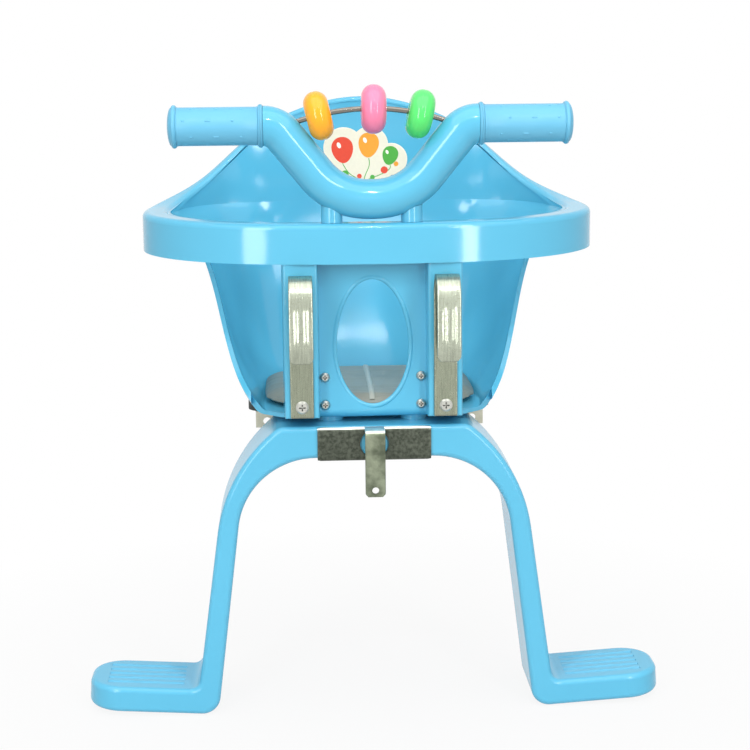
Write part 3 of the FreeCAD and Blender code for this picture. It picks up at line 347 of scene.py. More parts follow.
def welded_vinyl(name):
    """Vinyl pressed flat by the welding bar: no grain, and a paler patchy tone."""
    made, tree, place = start_material(name)
    patches = add(tree, "ShaderNodeTexNoise", {"Vector": place, "Scale": 1 / (6 * mm), "Detail": 2.0})
    tone = add(tree, "ShaderNodeMix", {
        "Factor": patches.outputs[0], 6: linear("#A9ADA2"), 7: linear("#999D93")}, data_type="RGBA")
    surface = add(tree, "ShaderNodeBsdfPrincipled", {
        "Base Color": tone.outputs[2], "Roughness": 0.33, "IOR": 1.5})
    add(tree, "ShaderNodeOutputMaterial", {"Surface": surface.outputs[0]})
    return made


welt = pad_welt(welded_vinyl("welded_grey_vinyl"))
smooth(welt)
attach(welt, "seat")

# Back decal: a die-cut cream film stuck to the inside of the back, printed with balloons.
# The film is thin and glossy, and its print lies flush on it. Its plan is in millimetres.

film_thickness = 0.4 * mm
decal_low, decal_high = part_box("back_decal")
decal_middle = Vector(((decal_low.x + decal_high.x) / 2, 0, (decal_low.z + decal_high.z) / 2))
decal_bow = (decal_high.y - decal_low.y - film_thickness) / (decal_high.x - decal_middle.x) ** 2
decal_lobes = [(-15, 7, 17), (7, 9, 15.5), (25, -3, 13.5), (0, -9, 15), (-26, -8, 12), (14, -13, 11)]
film_points = 160
film_lift = 0.3
edge_lift = 0.28
print_lift = 0.34
shine_lift = 0.38
string_lift = 0.32
string_width = 0.7
string_foot = (2, -21)
string_steps = 12


def on_back(u, v, lift):
    """A place on the film: across, up and off the wall, in millimetres from the film's middle."""
    x = decal_middle.x + u * mm
    wall = decal_high.y - film_thickness - decal_bow * (x - decal_middle.x) ** 2
    return (x, wall - lift * mm, decal_middle.z + v * mm)


def film_outline(count):
    """Outline of round lobes that run into each other, as one turn about the film's middle."""
    outline = []
    for i in range(count):
        turn = 2 * math.pi * i / count
        c, s = math.cos(turn), math.sin(turn)
        reach = 0
        for x, z, radius in decal_lobes:
            along = x * c + z * s
            off = radius ** 2 - (x ** 2 + z ** 2 - along ** 2)
            if off > 0:
                reach = max(reach, along + math.sqrt(off))
        outline.append((reach * c, reach * s))
    return outline


def film(made):
    """The film as rings that shrink towards its middle, its cut edge turned down to the wall."""
    outline = film_outline(film_points)
    rings = [(1.0, 0.0), (0.97, edge_lift)] + [(share, film_lift) for share in (0.75, 0.5, 0.25, 0.05)]
    points = []
    for share, lift in rings:
        points += [on_back(u * share, v * share, lift) for u, v in outline]
    faces = ring_faces(len(rings), len(outline))
    faces.append(tuple(range((len(rings) - 1) * len(outline), len(rings) * len(outline))))
    return new_piece("back_decal_film", points, faces, made)


def printed_film(name, colour):
    """Printed vinyl film: even colour with the slight mottle of the print, under a clear gloss."""
    made, tree, place = start_material(name)
    mottle = add(tree, "ShaderNodeTexNoise", {"Vector": place, "Scale": 1 / (2.5 * mm), "Detail": 3.0})
    dim = tuple(c * 0.9 for c in linear(colour)[:3]) + (1.0,)
    tone = add(tree, "ShaderNodeMix", {"Factor": mottle.outputs[0], 6: linear(colour), 7: dim},
               data_type="RGBA")
    surface = add(tree, "ShaderNodeBsdfPrincipled", {
        "Base Color": tone.outputs[2], "Roughness": 0.3, "IOR": 1.5})
    add(tree, "ShaderNodeOutputMaterial", {"Surface": surface.outputs[0]})
    return made


def print_patch(outline, lift):
    """A closed patch of print as a fan about its middle."""
    u = sum(p[0] for p in outline) / len(outline)
    v = sum(p[1] for p in outline) / len(outline)
    points = [on_back(u, v, lift)] + [on_back(*p, lift) for p in outline]
    count = len(outline)
    return points, [(0, 1 + i, 1 + (i + 1) % count) for i in range(count)]


def oval(u, v, wide, high, tilt=0.0, point=0.0, count=40):
    """An oval that can be tilted and drawn to a point below, as a balloon is."""
    c, s = math.cos(tilt), math.sin(tilt)
    outline = []
    for i in range(count):
        turn = 2 * math.pi * i / count
        x = wide * math.cos(turn) * (1 + point * math.sin(turn))
        z = high * math.sin(turn)
        outline.append((u + x * c - z * s, v + x * s + z * c))
    return outline


def dash(first, last, width):
    """A short straight piece of a printed line."""
    du, dv = last[0] - first[0], last[1] - first[1]
    size = math.hypot(du, dv)
    left = [(u - dv / size * width / 2, v + du / size * width / 2) for u, v in (first, last)]
    right = [(u + dv / size * width / 2, v - du / size * width / 2) for u, v in (last, first)]
    return left + right


def string_run(u, v):
    """A balloon's string from its knot down to the place where all strings meet."""
    shares = [i / string_steps for i in range(string_steps + 1)]
    return [(u + (string_foot[0] - u) * q * q + 0.8 * math.sin(q * 6), v - (v - string_foot[1]) * q)
            for q in shares]


def print_piece(name, outlines, made, lift):
    """All the patches of one colour of print as one piece."""
    points, faces = [], []
    for outline in outlines:
        more, fans = print_patch(outline, lift)
        faces += [tuple(i + len(points) for i in fan) for fan in fans]
        points += more
    piece = new_piece(name, points, faces, made)
    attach(piece, "seat")


decal = film(printed_film("cream_film", "#EAE4CE"))
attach(decal, "seat")
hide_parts("back_decal")
green_print = printed_film("green_print", "#4FA83F")
print_piece("decal_red", [oval(-16, 5, 9, 11, 0.12, 0.18), oval(19, -12, 3, 3), oval(-2, -17, 2, 2)],
            printed_film("red_print", "#E2492F"), print_lift)
print_piece("decal_orange", [oval(6, 9, 8.5, 10.5, -0.1, 0.18), oval(-27, -12, 3.2, 3.2),
                             oval(29, -7, 2, 2)],
            printed_film("orange_print", "#F0A030"), print_lift)
print_piece("decal_green", [oval(24, 0, 6.5, 8, -0.25, 0.18), oval(-14, -15, 3, 3), oval(9, -18, 2, 2)],
            green_print, print_lift)
print_piece("decal_shine", [oval(-19, 9, 1.6, 2.6, 0.4), oval(3, 13, 1.5, 2.4, 0.4),
                            oval(21.5, 3, 1.2, 1.8, 0.4)],
            printed_film("cream_print", "#FAF6E6"), shine_lift)
strings = []
for knot in ((-16, -6), (6, -2), (24, -8)):
    run = string_run(*knot)
    strings += [dash(first, last, string_width) for first, last in zip(run, run[1:])]
print_piece("decal_strings", strings, green_print, string_lift)

# Toy handlebar: a tube bent down in the middle, moulded in the same blue polypropylene as the
# bucket. It stands on two posts on the rim and has a spigot at each end for a grip.

dress("handlebar", blue_polypropylene)

# Bar posts: two short sleeves of the same plastic between the rim and the bar. A screw from
# under the rim goes through each into the bar.

dress("bar_post_left", blue_polypropylene)
dress("bar_post_right", blue_polypropylene)

# Grips: soft blue vinyl sleeves pushed on the bar's spigots, with a collar, an end flange with
# a shallow dome and rows of raised studs along the side. Their sizes are in millimetres.

grip_segments = 96
grip_radius = 14.0
grip_wall = 3
grip_ring = 2.0
grip_neck = 0.4
flange_setback = 5
dome_rise = 3.1
stud_turns = (-2.6, -1.9, -1.2, -0.5, 0.4, 1.2, 2.0, 2.8)
stud_places = (16, 34, 52)
stud_halves = (1.2, 2.6, 1.2)
stud_stagger = 6
stud_wide = 0.9
stud_high = 0.55
stud_points = 12


def lathe(profile, segments):
    """Points and quads of a profile of (along, radius) turned about its own long axis."""
    points = []
    for along, radius in profile:
        for i in range(segments):
            turn = 2 * math.pi * i / segments
            points.append(Vector((along, radius * math.cos(turn), radius * math.sin(turn))))
    return points, ring_faces(len(profile), segments)


def bend(center, radius, first, last, count=6):
    """Points of a round edge in a lathe profile."""
    turns = [math.radians(first + (last - first) * i / count) for i in range(count + 1)]
    return [(center[0] + radius * math.cos(t), center[1] + radius * math.sin(t)) for t in turns]


def grip_profile(length, collar):
    """From the bore at the inner end over collar, sleeve, end flange and dome."""
    ring = grip_ring
    neck = grip_radius + grip_neck
    profile = [(0, grip_radius - grip_wall), (0, collar - 1)]
    profile += bend((ring, collar - ring), ring, 180, 90) + bend((ring, collar - ring), ring, 90, 0)
    profile += [(2 * ring + 0.3, neck), (2 * ring + 1.0, grip_radius), (20, grip_radius), (40, grip_radius)]
    flange = length - flange_setback
    profile += [(flange - ring - 1.0, grip_radius), (flange - ring - 0.3, neck)]
    profile += bend((flange, collar - ring), ring, 180, 20)
    dome = collar - ring * 0.9
    turns = [math.radians(10 * i) for i in range(9)]
    profile += [(flange + 1.9 + dome_rise * math.sin(a), dome * math.cos(a)) for a in turns]
    return profile + [(length, 0.4)]


def stud(along, turn, half):
    """A raised stud on the sleeve: an oval cap whose rim lies in the surface."""
    rings = [(1.0, -0.15), (0.85, 0.35), (0.6, 0.75), (0.3, 0.95)]
    points = []
    for share, rise in rings:
        reach = grip_radius + stud_high * rise
        for i in range(stud_points):
            a = 2 * math.pi * i / stud_points
            around = turn + stud_wide * share * math.sin(a) / grip_radius
            place = along + half * share * math.cos(a)
            points.append(Vector((place, reach * math.cos(around), reach * math.sin(around))))
    top = (len(rings) - 1) * stud_points
    return points, ring_faces(len(rings), stud_points) + [tuple(range(top, top + stud_points))]


# Soft vinyl from a blasted mould: the same blue with a satin bloom and no sharp reflection.
satin_vinyl = moulded_plastic("satin_blue_vinyl", "#66B3D3", "#5EADCE", 0.40, 0.2, 0.01)
for side, sign in (("left", -1), ("right", 1)):
    low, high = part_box("grip_" + side)
    axis_y = (low.y + high.y) / 2
    axis_z = (low.z + high.z) / 2
    inner = high.x if sign < 0 else low.x
    points, faces = lathe(grip_profile((high.x - low.x) / mm, (high.z - low.z) / 2 / mm), grip_segments)
    for row, turn in enumerate(stud_turns):
        for first, half in zip(stud_places, stud_halves):
            more, caps = stud(first + stud_stagger * (row % 2), turn, half)
            faces += [tuple(i + len(points) for i in cap) for cap in caps]
            points += more
    if sign > 0:
        faces = [tuple(reversed(face)) for face in faces]
    placed = [(inner + sign * p.x * mm, axis_y + p.y * mm, axis_z + p.z * mm) for p in points]
    grip = new_piece("grip_sleeve_" + side, placed, faces, satin_vinyl)
    smooth(grip)
    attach(grip, "seat")
    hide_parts("grip_" + side)

# Bead wire: drawn steel wire, chromed and bent to a flat arch. Its ends are pushed into a hole
# in each side of the bar.


def plated_steel(name, colour, roughness, streak, mottle):
    """Plated steel: fine streaks of a height in millimetres, a cloudy mottle from the bath and painted
    shade that darkens its corners and recesses. The streaks are drawn coarser than they are, so that they
    show."""
    made, tree, place = start_material(name)
    squeeze = add(tree, "ShaderNodeMapping", {"Vector": place, "Scale": (1.0, 0.04, 0.04)})
    lines = add(tree, "ShaderNodeTexNoise", {
        "Vector": squeeze.outputs[0], "Scale": 1 / (0.5 * mm), "Detail": 2.0})
    cloud = add(tree, "ShaderNodeTexNoise", {"Vector": place, "Scale": 1 / (5 * mm), "Detail": 4.0})
    dim = tuple(c * (1 - mottle) for c in linear(colour)[:3]) + (1.0,)
    unshaded_colour = add(tree, "ShaderNodeMix", {"Factor": cloud.outputs[0], 6: linear(colour), 7: dim},
                data_type="RGBA")
    # Painted shade: ambient occlusion blends the colour towards near black in corners, recesses and where
    # parts meet.
    painted_shade_occlusion = add(tree, "ShaderNodeAmbientOcclusion", {"Distance": 1.4 * mm}, samples=6)
    unshaded_share = add(tree, "ShaderNodeMapRange", {
        "Value": painted_shade_occlusion.outputs["AO"], "From Min": 0.35, "From Max": 0.85})
    tone = add(tree, "ShaderNodeMix", {
        "Factor": unshaded_share.outputs[0], 6: linear("#2B2D28"), 7: unshaded_colour.outputs[2]}, data_type="RGBA")
    rough = add(tree, "ShaderNodeMapRange", {
        "Value": cloud.outputs[0], "From Min": 0.3, "From Max": 0.7,
        "To Min": roughness - 0.06, "To Max": roughness + 0.08})
    relief = add(tree, "ShaderNodeBump", {
        "Height": lines.outputs[0], "Strength": 1.0, "Distance": streak * mm})
    surface = add(tree, "ShaderNodeBsdfPrincipled", {
        "Base Color": tone.outputs[2], "Metallic": 1.0, "Roughness": rough.outputs[0],
        "Normal": relief.outputs[0]})
    add(tree, "ShaderNodeOutputMaterial", {"Surface": surface.outputs[0]})
    return made


# Chrome on drawn wire: nearly a mirror, a little warm and dull.
dress("bead_wire", plated_steel("chromed_wire", "#8A857D", 0.12, 0.002, 0.1))

# Play beads: hollow discs of glossy polyethylene with a full-round edge and a parting line
# round the middle. They hang loose on the wire and turn on it. Sizes are in millimetres.

bead_radius = 18.2
bead_thick = 18.4
bead_bore = 2.7
bead_seam = 0.25
bead_segments = 96
bead_colours = {
    "orange": ("#FDB022", "#FBA214"),
    "pink": ("#F286A8", "#EA749B"),
    "green": ("#5BE073", "#48D561"),
}


def bead_profile():
    """Half section from the bore over the round edge, with its parting line, and back to the bore."""
    half = bead_thick / 2
    flat = bead_radius - half
    bore = bead_bore
    profile = [(-half + 2, bore), (-half + 0.6, bore + 0.3), (-half, bore + 1.2)]
    for i in range(41):
        turn = math.radians(-90 + 4.5 * i)
        dip = bead_seam * math.exp(-(turn / 0.07) ** 2)
        profile.append((half * math.sin(turn), flat + (half - dip) * math.cos(turn)))
    return profile + [(half, bore + 1.2), (half - 0.6, bore + 0.3), (half - 2, bore), (-half + 2, bore)]


joints = {joint["child"]: joint for joint in frame["joints"]}
# Polyethylene from a polished mould: strong, even colour under a clear gloss.
for colour, (light, dark) in bead_colours.items():
    name = "bead_" + colour
    along = Vector(joints[name]["axis"]).normalized()
    turn = Vector((1, 0, 0)).rotation_difference(along).to_matrix().to_4x4()
    place = Matrix.Translation(Vector(joints[name]["pos_m"])) @ turn
    points, faces = lathe(bead_profile(), bead_segments)
    bead = new_piece(name + "_disc", [place @ (p * mm) for p in points], faces,
                     moulded_plastic(colour + "_polyethylene", light, dark, 0.08, 0.10, 0.002))
    smooth(bead)
    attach(bead, name)
    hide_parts(name)

# Hooks: strips of zinc-plated steel bent over the bicycle's handlebar and screwed to the rails.
# Two ribs are pressed in the front leg; its end is plain, rounded and set back a little.

strip_thickness = 2.5 * mm
strip_width = 17.5 * mm
strip_columns = 28
strip_edge = 0.5 * mm
strip_ease = 0.45 * mm
hook_stations = 150
hook_bend = 15.25 * mm
hook_back = 93 * mm
hook_flare = 1.6 * mm
flare_places = ((46 * mm, 0.2), (40 * mm, 0.75), (35 * mm, 1.0), (18 * mm, 0.55))
rib_place = 3.6 * mm
rib_half = 2.3 * mm
rib_height = 0.5 * mm
rib_start = 13 * mm
rib_end = 41 * mm
rib_runout = 3 * mm
end_corner = 4.5 * mm


def stations(run, count):
    """Even places along a line of (y, z) points: distance from its start, place and way across."""
    lengths = [0.0]
    for first, last in zip(run, run[1:]):
        lengths.append(lengths[-1] + (last - first).length)
    made = []
    for i in range(count + 1):
        along = lengths[-1] * i / count
        k = max(j for j in range(len(run) - 1) if lengths[j] <= along + 1e-12)
        share = (along - lengths[k]) / (lengths[k + 1] - lengths[k])
        place = run[k].lerp(run[k + 1], share)
        before = run[max(k - 1, 0)]
        after = run[min(k + 2, len(run) - 1)]
        ahead = (run[k + 1] - before).normalized().lerp((after - run[k]).normalized(), share).normalized()
        made.append((along, place, Vector((-ahead.y, ahead.x))))
    return made


def bent_strip(run, count, thickness, relief, half_width):
    """Points and faces of a strip that follows a line in the upright plane, with eased edges."""
    points = []
    for along, place, out in stations(run, count):
        half = half_width(along)
        for face in (1, -1):
            for j in range(strip_columns + 1):
                q = face * (-1 + 2 * j / strip_columns)
                x = math.copysign(abs(q) ** 0.8, q) * half
                ease = max(0.0, strip_edge - (half - abs(x))) / strip_edge
                rise = face * (thickness / 2 - strip_ease * ease ** 2) + relief(along, x)
                spot = place + out * rise
                points.append((x, spot.x, spot.y))
    ring = 2 * (strip_columns + 1)
    faces = ring_faces(count + 1, ring)
    faces += [tuple(reversed(range(ring))), tuple(range(count * ring, (count + 1) * ring))]
    return points, faces


def hook_run():
    """Centre line from the flared front end over the bicycle's bar and down the rail. The flare is
    given as places of (how far down, share of the flare)."""
    front = [Vector((-hook_bend - share * hook_flare, -down)) for down, share in flare_places]
    arc = [math.radians(180 - 7.5 * i) for i in range(25)]
    over = [Vector((hook_bend * math.cos(a), hook_bend * math.sin(a))) for a in arc]
    return front + over + [Vector((hook_bend, -hook_back / 2)), Vector((hook_bend, -hook_back))]


def hook_relief(along, x):
    """Two ribs that stand out of the front leg and run out softly at both ends."""
    lead = max(0.0, (along - rib_start) / rib_runout)
    trail = max(0.0, (rib_end - along) / rib_runout)
    off = abs(abs(x) - rib_place)
    if off >= rib_half:
        return 0.0
    return rib_height * min(1.0, lead, trail) * (0.5 + 0.5 * math.cos(math.pi * off / rib_half))


def hook_half_width(along):
    """The front end's corners are rounded."""
    left = end_corner - min(along, end_corner)
    rounded = math.sqrt(max(end_corner ** 2 - left ** 2, (0.3 * end_corner) ** 2))
    return strip_width / 2 - end_corner + rounded


def plated_strip(name, painted_lit_tone, painted_shaded_tone, streak):
    """Zinc plate on rolled strip: a painted lit tone on the front leg and a painted shaded tone on the
    back leg behind it, with rolling streaks along it, a fine spangle and shallow dents that break up
    what it mirrors. The streaks and the spangle are drawn coarser than they are, so that they show."""
    made, tree, place = start_material(name)
    axes = add(tree, "ShaderNodeSeparateXYZ", {"Vector": place})
    # Painted light: the front leg gets the lit tone and the back leg, shaded by the hook, the darker tone.
    frontward_share = add(tree, "ShaderNodeMapRange", {
        "Value": axes.outputs["Y"], "From Min": 6 * mm, "From Max": -4 * mm})
    along = add(tree, "ShaderNodeMapping", {"Vector": place, "Scale": (1.0, 0.05, 0.05)})
    lines = add(tree, "ShaderNodeTexNoise", {
        "Vector": along.outputs[0], "Scale": 1 / (0.8 * mm), "Detail": 3.0})
    spangle = add(tree, "ShaderNodeTexNoise", {
        "Vector": place, "Scale": 1 / (1.1 * mm), "Detail": 5.0, "Roughness": 0.75})
    dents = add(tree, "ShaderNodeTexNoise", {"Vector": place, "Scale": 1 / (9 * mm), "Detail": 2.0})
    plain = add(tree, "ShaderNodeMix", {
        "Factor": frontward_share.outputs[0], 6: linear(painted_shaded_tone), 7: linear(painted_lit_tone)}, data_type="RGBA")
    struck = add(tree, "ShaderNodeMapRange", {
        "Value": lines.outputs[0], "From Min": 0.40, "From Max": 0.70, "To Min": 0.0, "To Max": 0.38})
    lined = add(tree, "ShaderNodeMix", {
        "Factor": struck.outputs[0], 6: plain.outputs[2], 7: linear(streak)}, data_type="RGBA")
    fleck = add(tree, "ShaderNodeMapRange", {
        "Value": spangle.outputs[0], "From Min": 0.45, "From Max": 0.7, "To Min": 0.0, "To Max": 0.35})
    tone = add(tree, "ShaderNodeMix", {
        "Factor": fleck.outputs[0], 6: lined.outputs[2], 7: linear(streak)}, data_type="RGBA")
    rough = add(tree, "ShaderNodeMapRange", {
        "Value": spangle.outputs[0], "From Min": 0.3, "From Max": 0.7, "To Min": 0.22, "To Max": 0.38})
    waves = add(tree, "ShaderNodeBump", {
        "Height": dents.outputs[0], "Strength": 1.0, "Distance": 0.2 * mm})
    grain = add(tree, "ShaderNodeBump", {
        "Height": lines.outputs[0], "Strength": 1.0, "Distance": 0.05 * mm, "Normal": waves.outputs[0]})
    surface = add(tree, "ShaderNodeBsdfPrincipled", {
        "Base Color": tone.outputs[2], "Metallic": 1.0, "Roughness": rough.outputs[0],
        "Normal": grain.outputs[0]})
    add(tree, "ShaderNodeOutputMaterial", {"Surface": surface.outputs[0]})
    return made


# Painted light: the first colour is the strip's lit tone for the front leg, the second its shaded tone for
# the back leg.
zinc_strip = plated_strip("zinc_plated_strip", "#B7BDAB", "#9BA18D", "#5F6357")
for side in ("left", "right"):
    low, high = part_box("hook_" + side)
    middle = (low.x + high.x) / 2
    points, faces = bent_strip(hook_run(), hook_stations, strip_thickness, hook_relief, hook_half_width)
    hook = new_piece("hook_strip_" + side, [(middle + x, y, z) for x, y, z in points], faces, zinc_strip)
    smooth(hook)
    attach(hook, "seat")
    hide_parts("hook_" + side)

# Screws, bolts and nuts: steel, bright zinc plated in a barrel. Pan heads show in front of the
# hooks and the panel, the bar's screws come from under the rim, and the nuts lie behind and below.

# Bright zinc: clean and silvery, with painted shade darkening the cross recesses.
bright_zinc = plated_steel("bright_zinc_screws", "#C9CAC2", 0.30, 0.001, 0.12)
for node in ("hook_screws", "hook_nuts", "panel_screws", "panel_nuts", "bar_screws",
             "seat_bolts", "seat_nuts", "rest_bolts", "rest_nuts"):
    dress(node, bright_zinc)

# Backing plates: two squares of sheet steel inside the front panel, behind the hooks, held by
# the panel screws. They spread the pull of the hooks over the panel and are plated dull.

# Dull zinc: grey and cloudy, with a soft sheen.
dull_zinc = plated_steel("dull_zinc_plate", "#8C8C80", 0.38, 0.006, 0.25)
dress("backing_plate_left", dull_zinc)
dress("backing_plate_right", dull_zinc)

# Stem bracket: sheet steel, zinc plated and folded under the plank, with one large hole. A strap
# of the same piece stands forward from its upper edge and goes down, with a small set in it.

sheet = 2 * mm
plate_half = 43 * mm
plate_front = 16 * mm
plate_top = -101 * mm
plate_low = -127.5 * mm
plate_stations = 60
leg_back = 60 * mm
fold_radius = 3 * mm
top_round = 1.6 * mm
stem_hole = 10.8 * mm
stem_hole_height = -114 * mm
strap_half = 7.6 * mm
strap_front = 2 * mm
strap_low = -152 * mm
strap_bend = 3 * mm
strap_ledge = 4 * mm
strap_set = 1.1 * mm
set_top = -116 * mm
set_low = -119.5 * mm
strap_middle = -135 * mm
strap_corner = 2.2 * mm
strap_stations = 70
strap_hole = 2.6 * mm
strap_hole_height = -147 * mm
hole_points = 64
hole_reach = 30 * mm
fold_angle = math.radians(35)
quarter_turn = [math.radians(15 * i) for i in range(7)]


def strap_run():
    """Centre line of the strap from the plate's upper edge, forward and down."""
    top = plate_top - sheet / 2
    run = [Vector((plate_front + sheet, top)), Vector((plate_front - strap_ledge, top))]
    run += [Vector((strap_front + strap_bend - strap_bend * math.sin(a),
                    top - strap_bend + strap_bend * math.cos(a))) for a in quarter_turn]
    run.append(Vector((strap_front, set_top)))
    return run + [Vector((strap_front + strap_set, z)) for z in (set_low, strap_middle, strap_low)]


def fold_run():
    """Centre line of the plate from its upper edge down and back under the plank."""
    front = plate_front + sheet / 2
    low = plate_low + sheet / 2
    top = plate_top - sheet / 2
    run = [Vector((front + top_round - top_round * math.sin(a), top - top_round + top_round * math.cos(a)))
           for a in quarter_turn]
    run.append(Vector((front, (plate_top + low) / 2)))
    run += [Vector((front + fold_radius - fold_radius * math.cos(a),
                    low + fold_radius - fold_radius * math.sin(a))) for a in quarter_turn]
    return run + [Vector(((front + leg_back) / 2, low)), Vector((leg_back, low))]


def flat_face(along, x):
    return 0.0


def plate_half_width(along):
    return plate_half


def strap_half_width(along):
    """The strap's lower corners are cut off slantwise."""
    return strap_half - max(0.0, along - (strap_length - strap_corner)) * 0.9


def pierce(piece, radius, place):
    """A round hole through a sheet, along Y."""
    turns = [2 * math.pi * i / hole_points for i in range(hole_points)]
    ring = [place + Vector((radius * math.cos(a), -hole_reach, radius * math.sin(a))) for a in turns]
    points = ring + [p + Vector((0, 2 * hole_reach, 0)) for p in ring]
    faces = [tuple(reversed(face)) for face in ring_faces(2, hole_points)]
    faces += [tuple(range(hole_points)), tuple(reversed(range(hole_points, 2 * hole_points)))]
    tool = new_piece("piercing_tool", points, faces, piece.data.materials[0])
    hole = piece.modifiers.new("hole", "BOOLEAN")
    hole.operation = "DIFFERENCE"
    hole.solver = "EXACT"
    hole.object = tool
    apply_modifiers(piece)
    bpy.data.objects.remove(tool)
    cleaned = bmesh.new()
    cleaned.from_mesh(piece.data)
    bmesh.ops.remove_doubles(cleaned, verts=cleaned.verts, dist=0.02 * mm)
    cleaned.to_mesh(piece.data)
    cleaned.free()


def pressed_sheet(name):
    """Zinc plate on sheet steel: dark and mottled, with rolling lines across, the strap paler and patchy,
    and a painted highlight along the upper edge. The lines are drawn coarser than they are."""
    made, tree, place = start_material(name)
    spangle = add(tree, "ShaderNodeTexNoise", {"Vector": place, "Scale": 1 / (2.6 * mm), "Detail": 3.0})
    blotch = add(tree, "ShaderNodeMapRange", {
        "Value": spangle.outputs[0], "From Min": 0.35, "From Max": 0.65})
    mottle = add(tree, "ShaderNodeMix", {
        "Factor": blotch.outputs[0], 6: linear("#444940"), 7: linear("#5E6358")}, data_type="RGBA")
    dents = add(tree, "ShaderNodeTexNoise", {"Vector": place, "Scale": 1 / (11 * mm), "Detail": 3.0})
    worn = add(tree, "ShaderNodeMapRange", {"Value": dents.outputs[0], "From Min": 0.38, "From Max": 0.62})
    strap_tone = add(tree, "ShaderNodeMix", {
        "Factor": worn.outputs[0], 6: linear("#68705D"), 7: linear("#969E87")}, data_type="RGBA")
    axes = add(tree, "ShaderNodeSeparateXYZ", {"Vector": place})
    # The strap, in front of the plate, takes the paler patchy tone.
    frontward_share = add(tree, "ShaderNodeMapRange", {
        "Value": axes.outputs["Y"], "From Min": 16 * mm, "From Max": 8 * mm, "To Min": 0.0, "To Max": 0.85})
    shade = add(tree, "ShaderNodeMix", {
        "Factor": frontward_share.outputs[0], 6: mottle.outputs[2], 7: strap_tone.outputs[2]}, data_type="RGBA")
    # Painted highlight: a near-white band along the plate's upper edge, where the rounded top would catch
    # the light.
    edge = add(tree, "ShaderNodeMapRange", {
        "Value": axes.outputs["Z"], "From Min": plate_top - 2.0 * mm, "From Max": plate_top - 1.0 * mm})
    tone = add(tree, "ShaderNodeMix", {
        "Factor": edge.outputs[0], 6: shade.outputs[2], 7: linear("#F2F3EA")}, data_type="RGBA")
    rough = add(tree, "ShaderNodeMapRange", {
        "Value": spangle.outputs[0], "From Min": 0.3, "From Max": 0.7, "To Min": 0.32, "To Max": 0.40})
    waves = add(tree, "ShaderNodeBump", {
        "Height": dents.outputs[0], "Strength": 1.0, "Distance": 0.9 * mm})
    stretch = add(tree, "ShaderNodeMapping", {"Vector": place, "Scale": (0.08, 1.0, 1.0)})
    lines = add(tree, "ShaderNodeTexNoise", {
        "Vector": stretch.outputs[0], "Scale": 1 / (1.3 * mm), "Detail": 3.0})
    relief = add(tree, "ShaderNodeBump", {
        "Height": lines.outputs[0], "Strength": 1.0, "Distance": 0.03 * mm, "Normal": waves.outputs[0]})
    surface = add(tree, "ShaderNodeBsdfPrincipled", {
        "Base Color": tone.outputs[2], "Metallic": 1.0, "Roughness": rough.outputs[0],
        "Normal": relief.outputs[0]})
    add(tree, "ShaderNodeOutputMaterial", {"Surface": surface.outputs[0]})
    return made


sheet_zinc = pressed_sheet("zinc_plated_sheet")
points, faces = bent_strip(fold_run(), plate_stations, sheet, flat_face, plate_half_width)
bracket = new_piece("stem_bracket_plate", points, faces, sheet_zinc)
pierce(bracket, stem_hole, Vector((0, plate_front - 10 * mm, stem_hole_height)))
strap_length = stations(strap_run(), 1)[-1][0]
points, faces = bent_strip(strap_run(), strap_stations, sheet, flat_face, strap_half_width)
strap = new_piece("stem_bracket_strap", points, faces, sheet_zinc)
pierce(strap, strap_hole, Vector((0, strap_front, strap_hole_height)))
for piece in (bracket, strap):
    smooth(piece)
    piece.data.set_sharp_from_angle(angle=fold_angle)
    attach(piece, "seat")
    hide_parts("stem_bracket")

# Footrest frame: plank, legs and grooved pegs in one blue polypropylene moulding. It is bolted
# under the floor of the bucket, through the bracket.

# Polypropylene from a plainer mould: the same blue with softer highlights than the bucket's.
dress("footrest_frame",
      moulded_plastic("satin_blue_polypropylene", "#5BB3D3", "#53ACCD", 0.20, 0.25, 0.0006))

# Rest pad: a black rubber block under the back of the floor, between the bucket and the angle
# bar. Two bolts go through all three.


def black_rubber(name):
    """Moulded rubber: dull, nearly black, with a matt grain, drawn coarser than it is to show."""
    made, tree, place = start_material(name)
    grain = add(tree, "ShaderNodeTexNoise", {"Vector": place, "Scale": 1 / (1.2 * mm), "Detail": 3.0})
    tone = add(tree, "ShaderNodeMix", {
        "Factor": grain.outputs[0], 6: linear("#1C2422"), 7: linear("#2A3330")}, data_type="RGBA")
    relief = add(tree, "ShaderNodeBump", {
        "Height": grain.outputs[0], "Strength": 0.6, "Distance": 0.1 * mm})
    surface = add(tree, "ShaderNodeBsdfPrincipled", {
        "Base Color": tone.outputs[2], "Roughness": 0.62, "IOR": 1.52, "Normal": relief.outputs[0]})
    add(tree, "ShaderNodeOutputMaterial", {"Surface": surface.outputs[0]})
    return made


dress("rest_pad", black_rubber("moulded_black_rubber"))

# Rest bar: a length of angle steel under the rubber pad, zinc plated and left pale and matt.
# Its ends stand out on both sides of the bucket, with a hole in each.

dress("rest_bar", plated_steel("pale_zinc_bar", "#D9D3BF", 0.62, 0.004, 0.15))

# Studio floor: a round sheet of matt white card under the pegs, which keeps a soft shadow. It
# fades to pure white before its edge.

floor_radius = 0.8
floor_fade = 0.3
floor_gap = 0.2 * mm
floor_points = 96


def white_ground(tree):
    """One for the rays that show the ground as it is: seen straight, in a mirror or through glass."""
    path = add(tree, "ShaderNodeLightPath").outputs
    mirrored = add(tree, "ShaderNodeMath", {0: path["Is Glossy Ray"], 1: path["Is Transmission Ray"]},
                   operation="MAXIMUM")
    return add(tree, "ShaderNodeMath", {0: path["Is Camera Ray"], 1: mirrored.outputs[0]},
               operation="MAXIMUM")


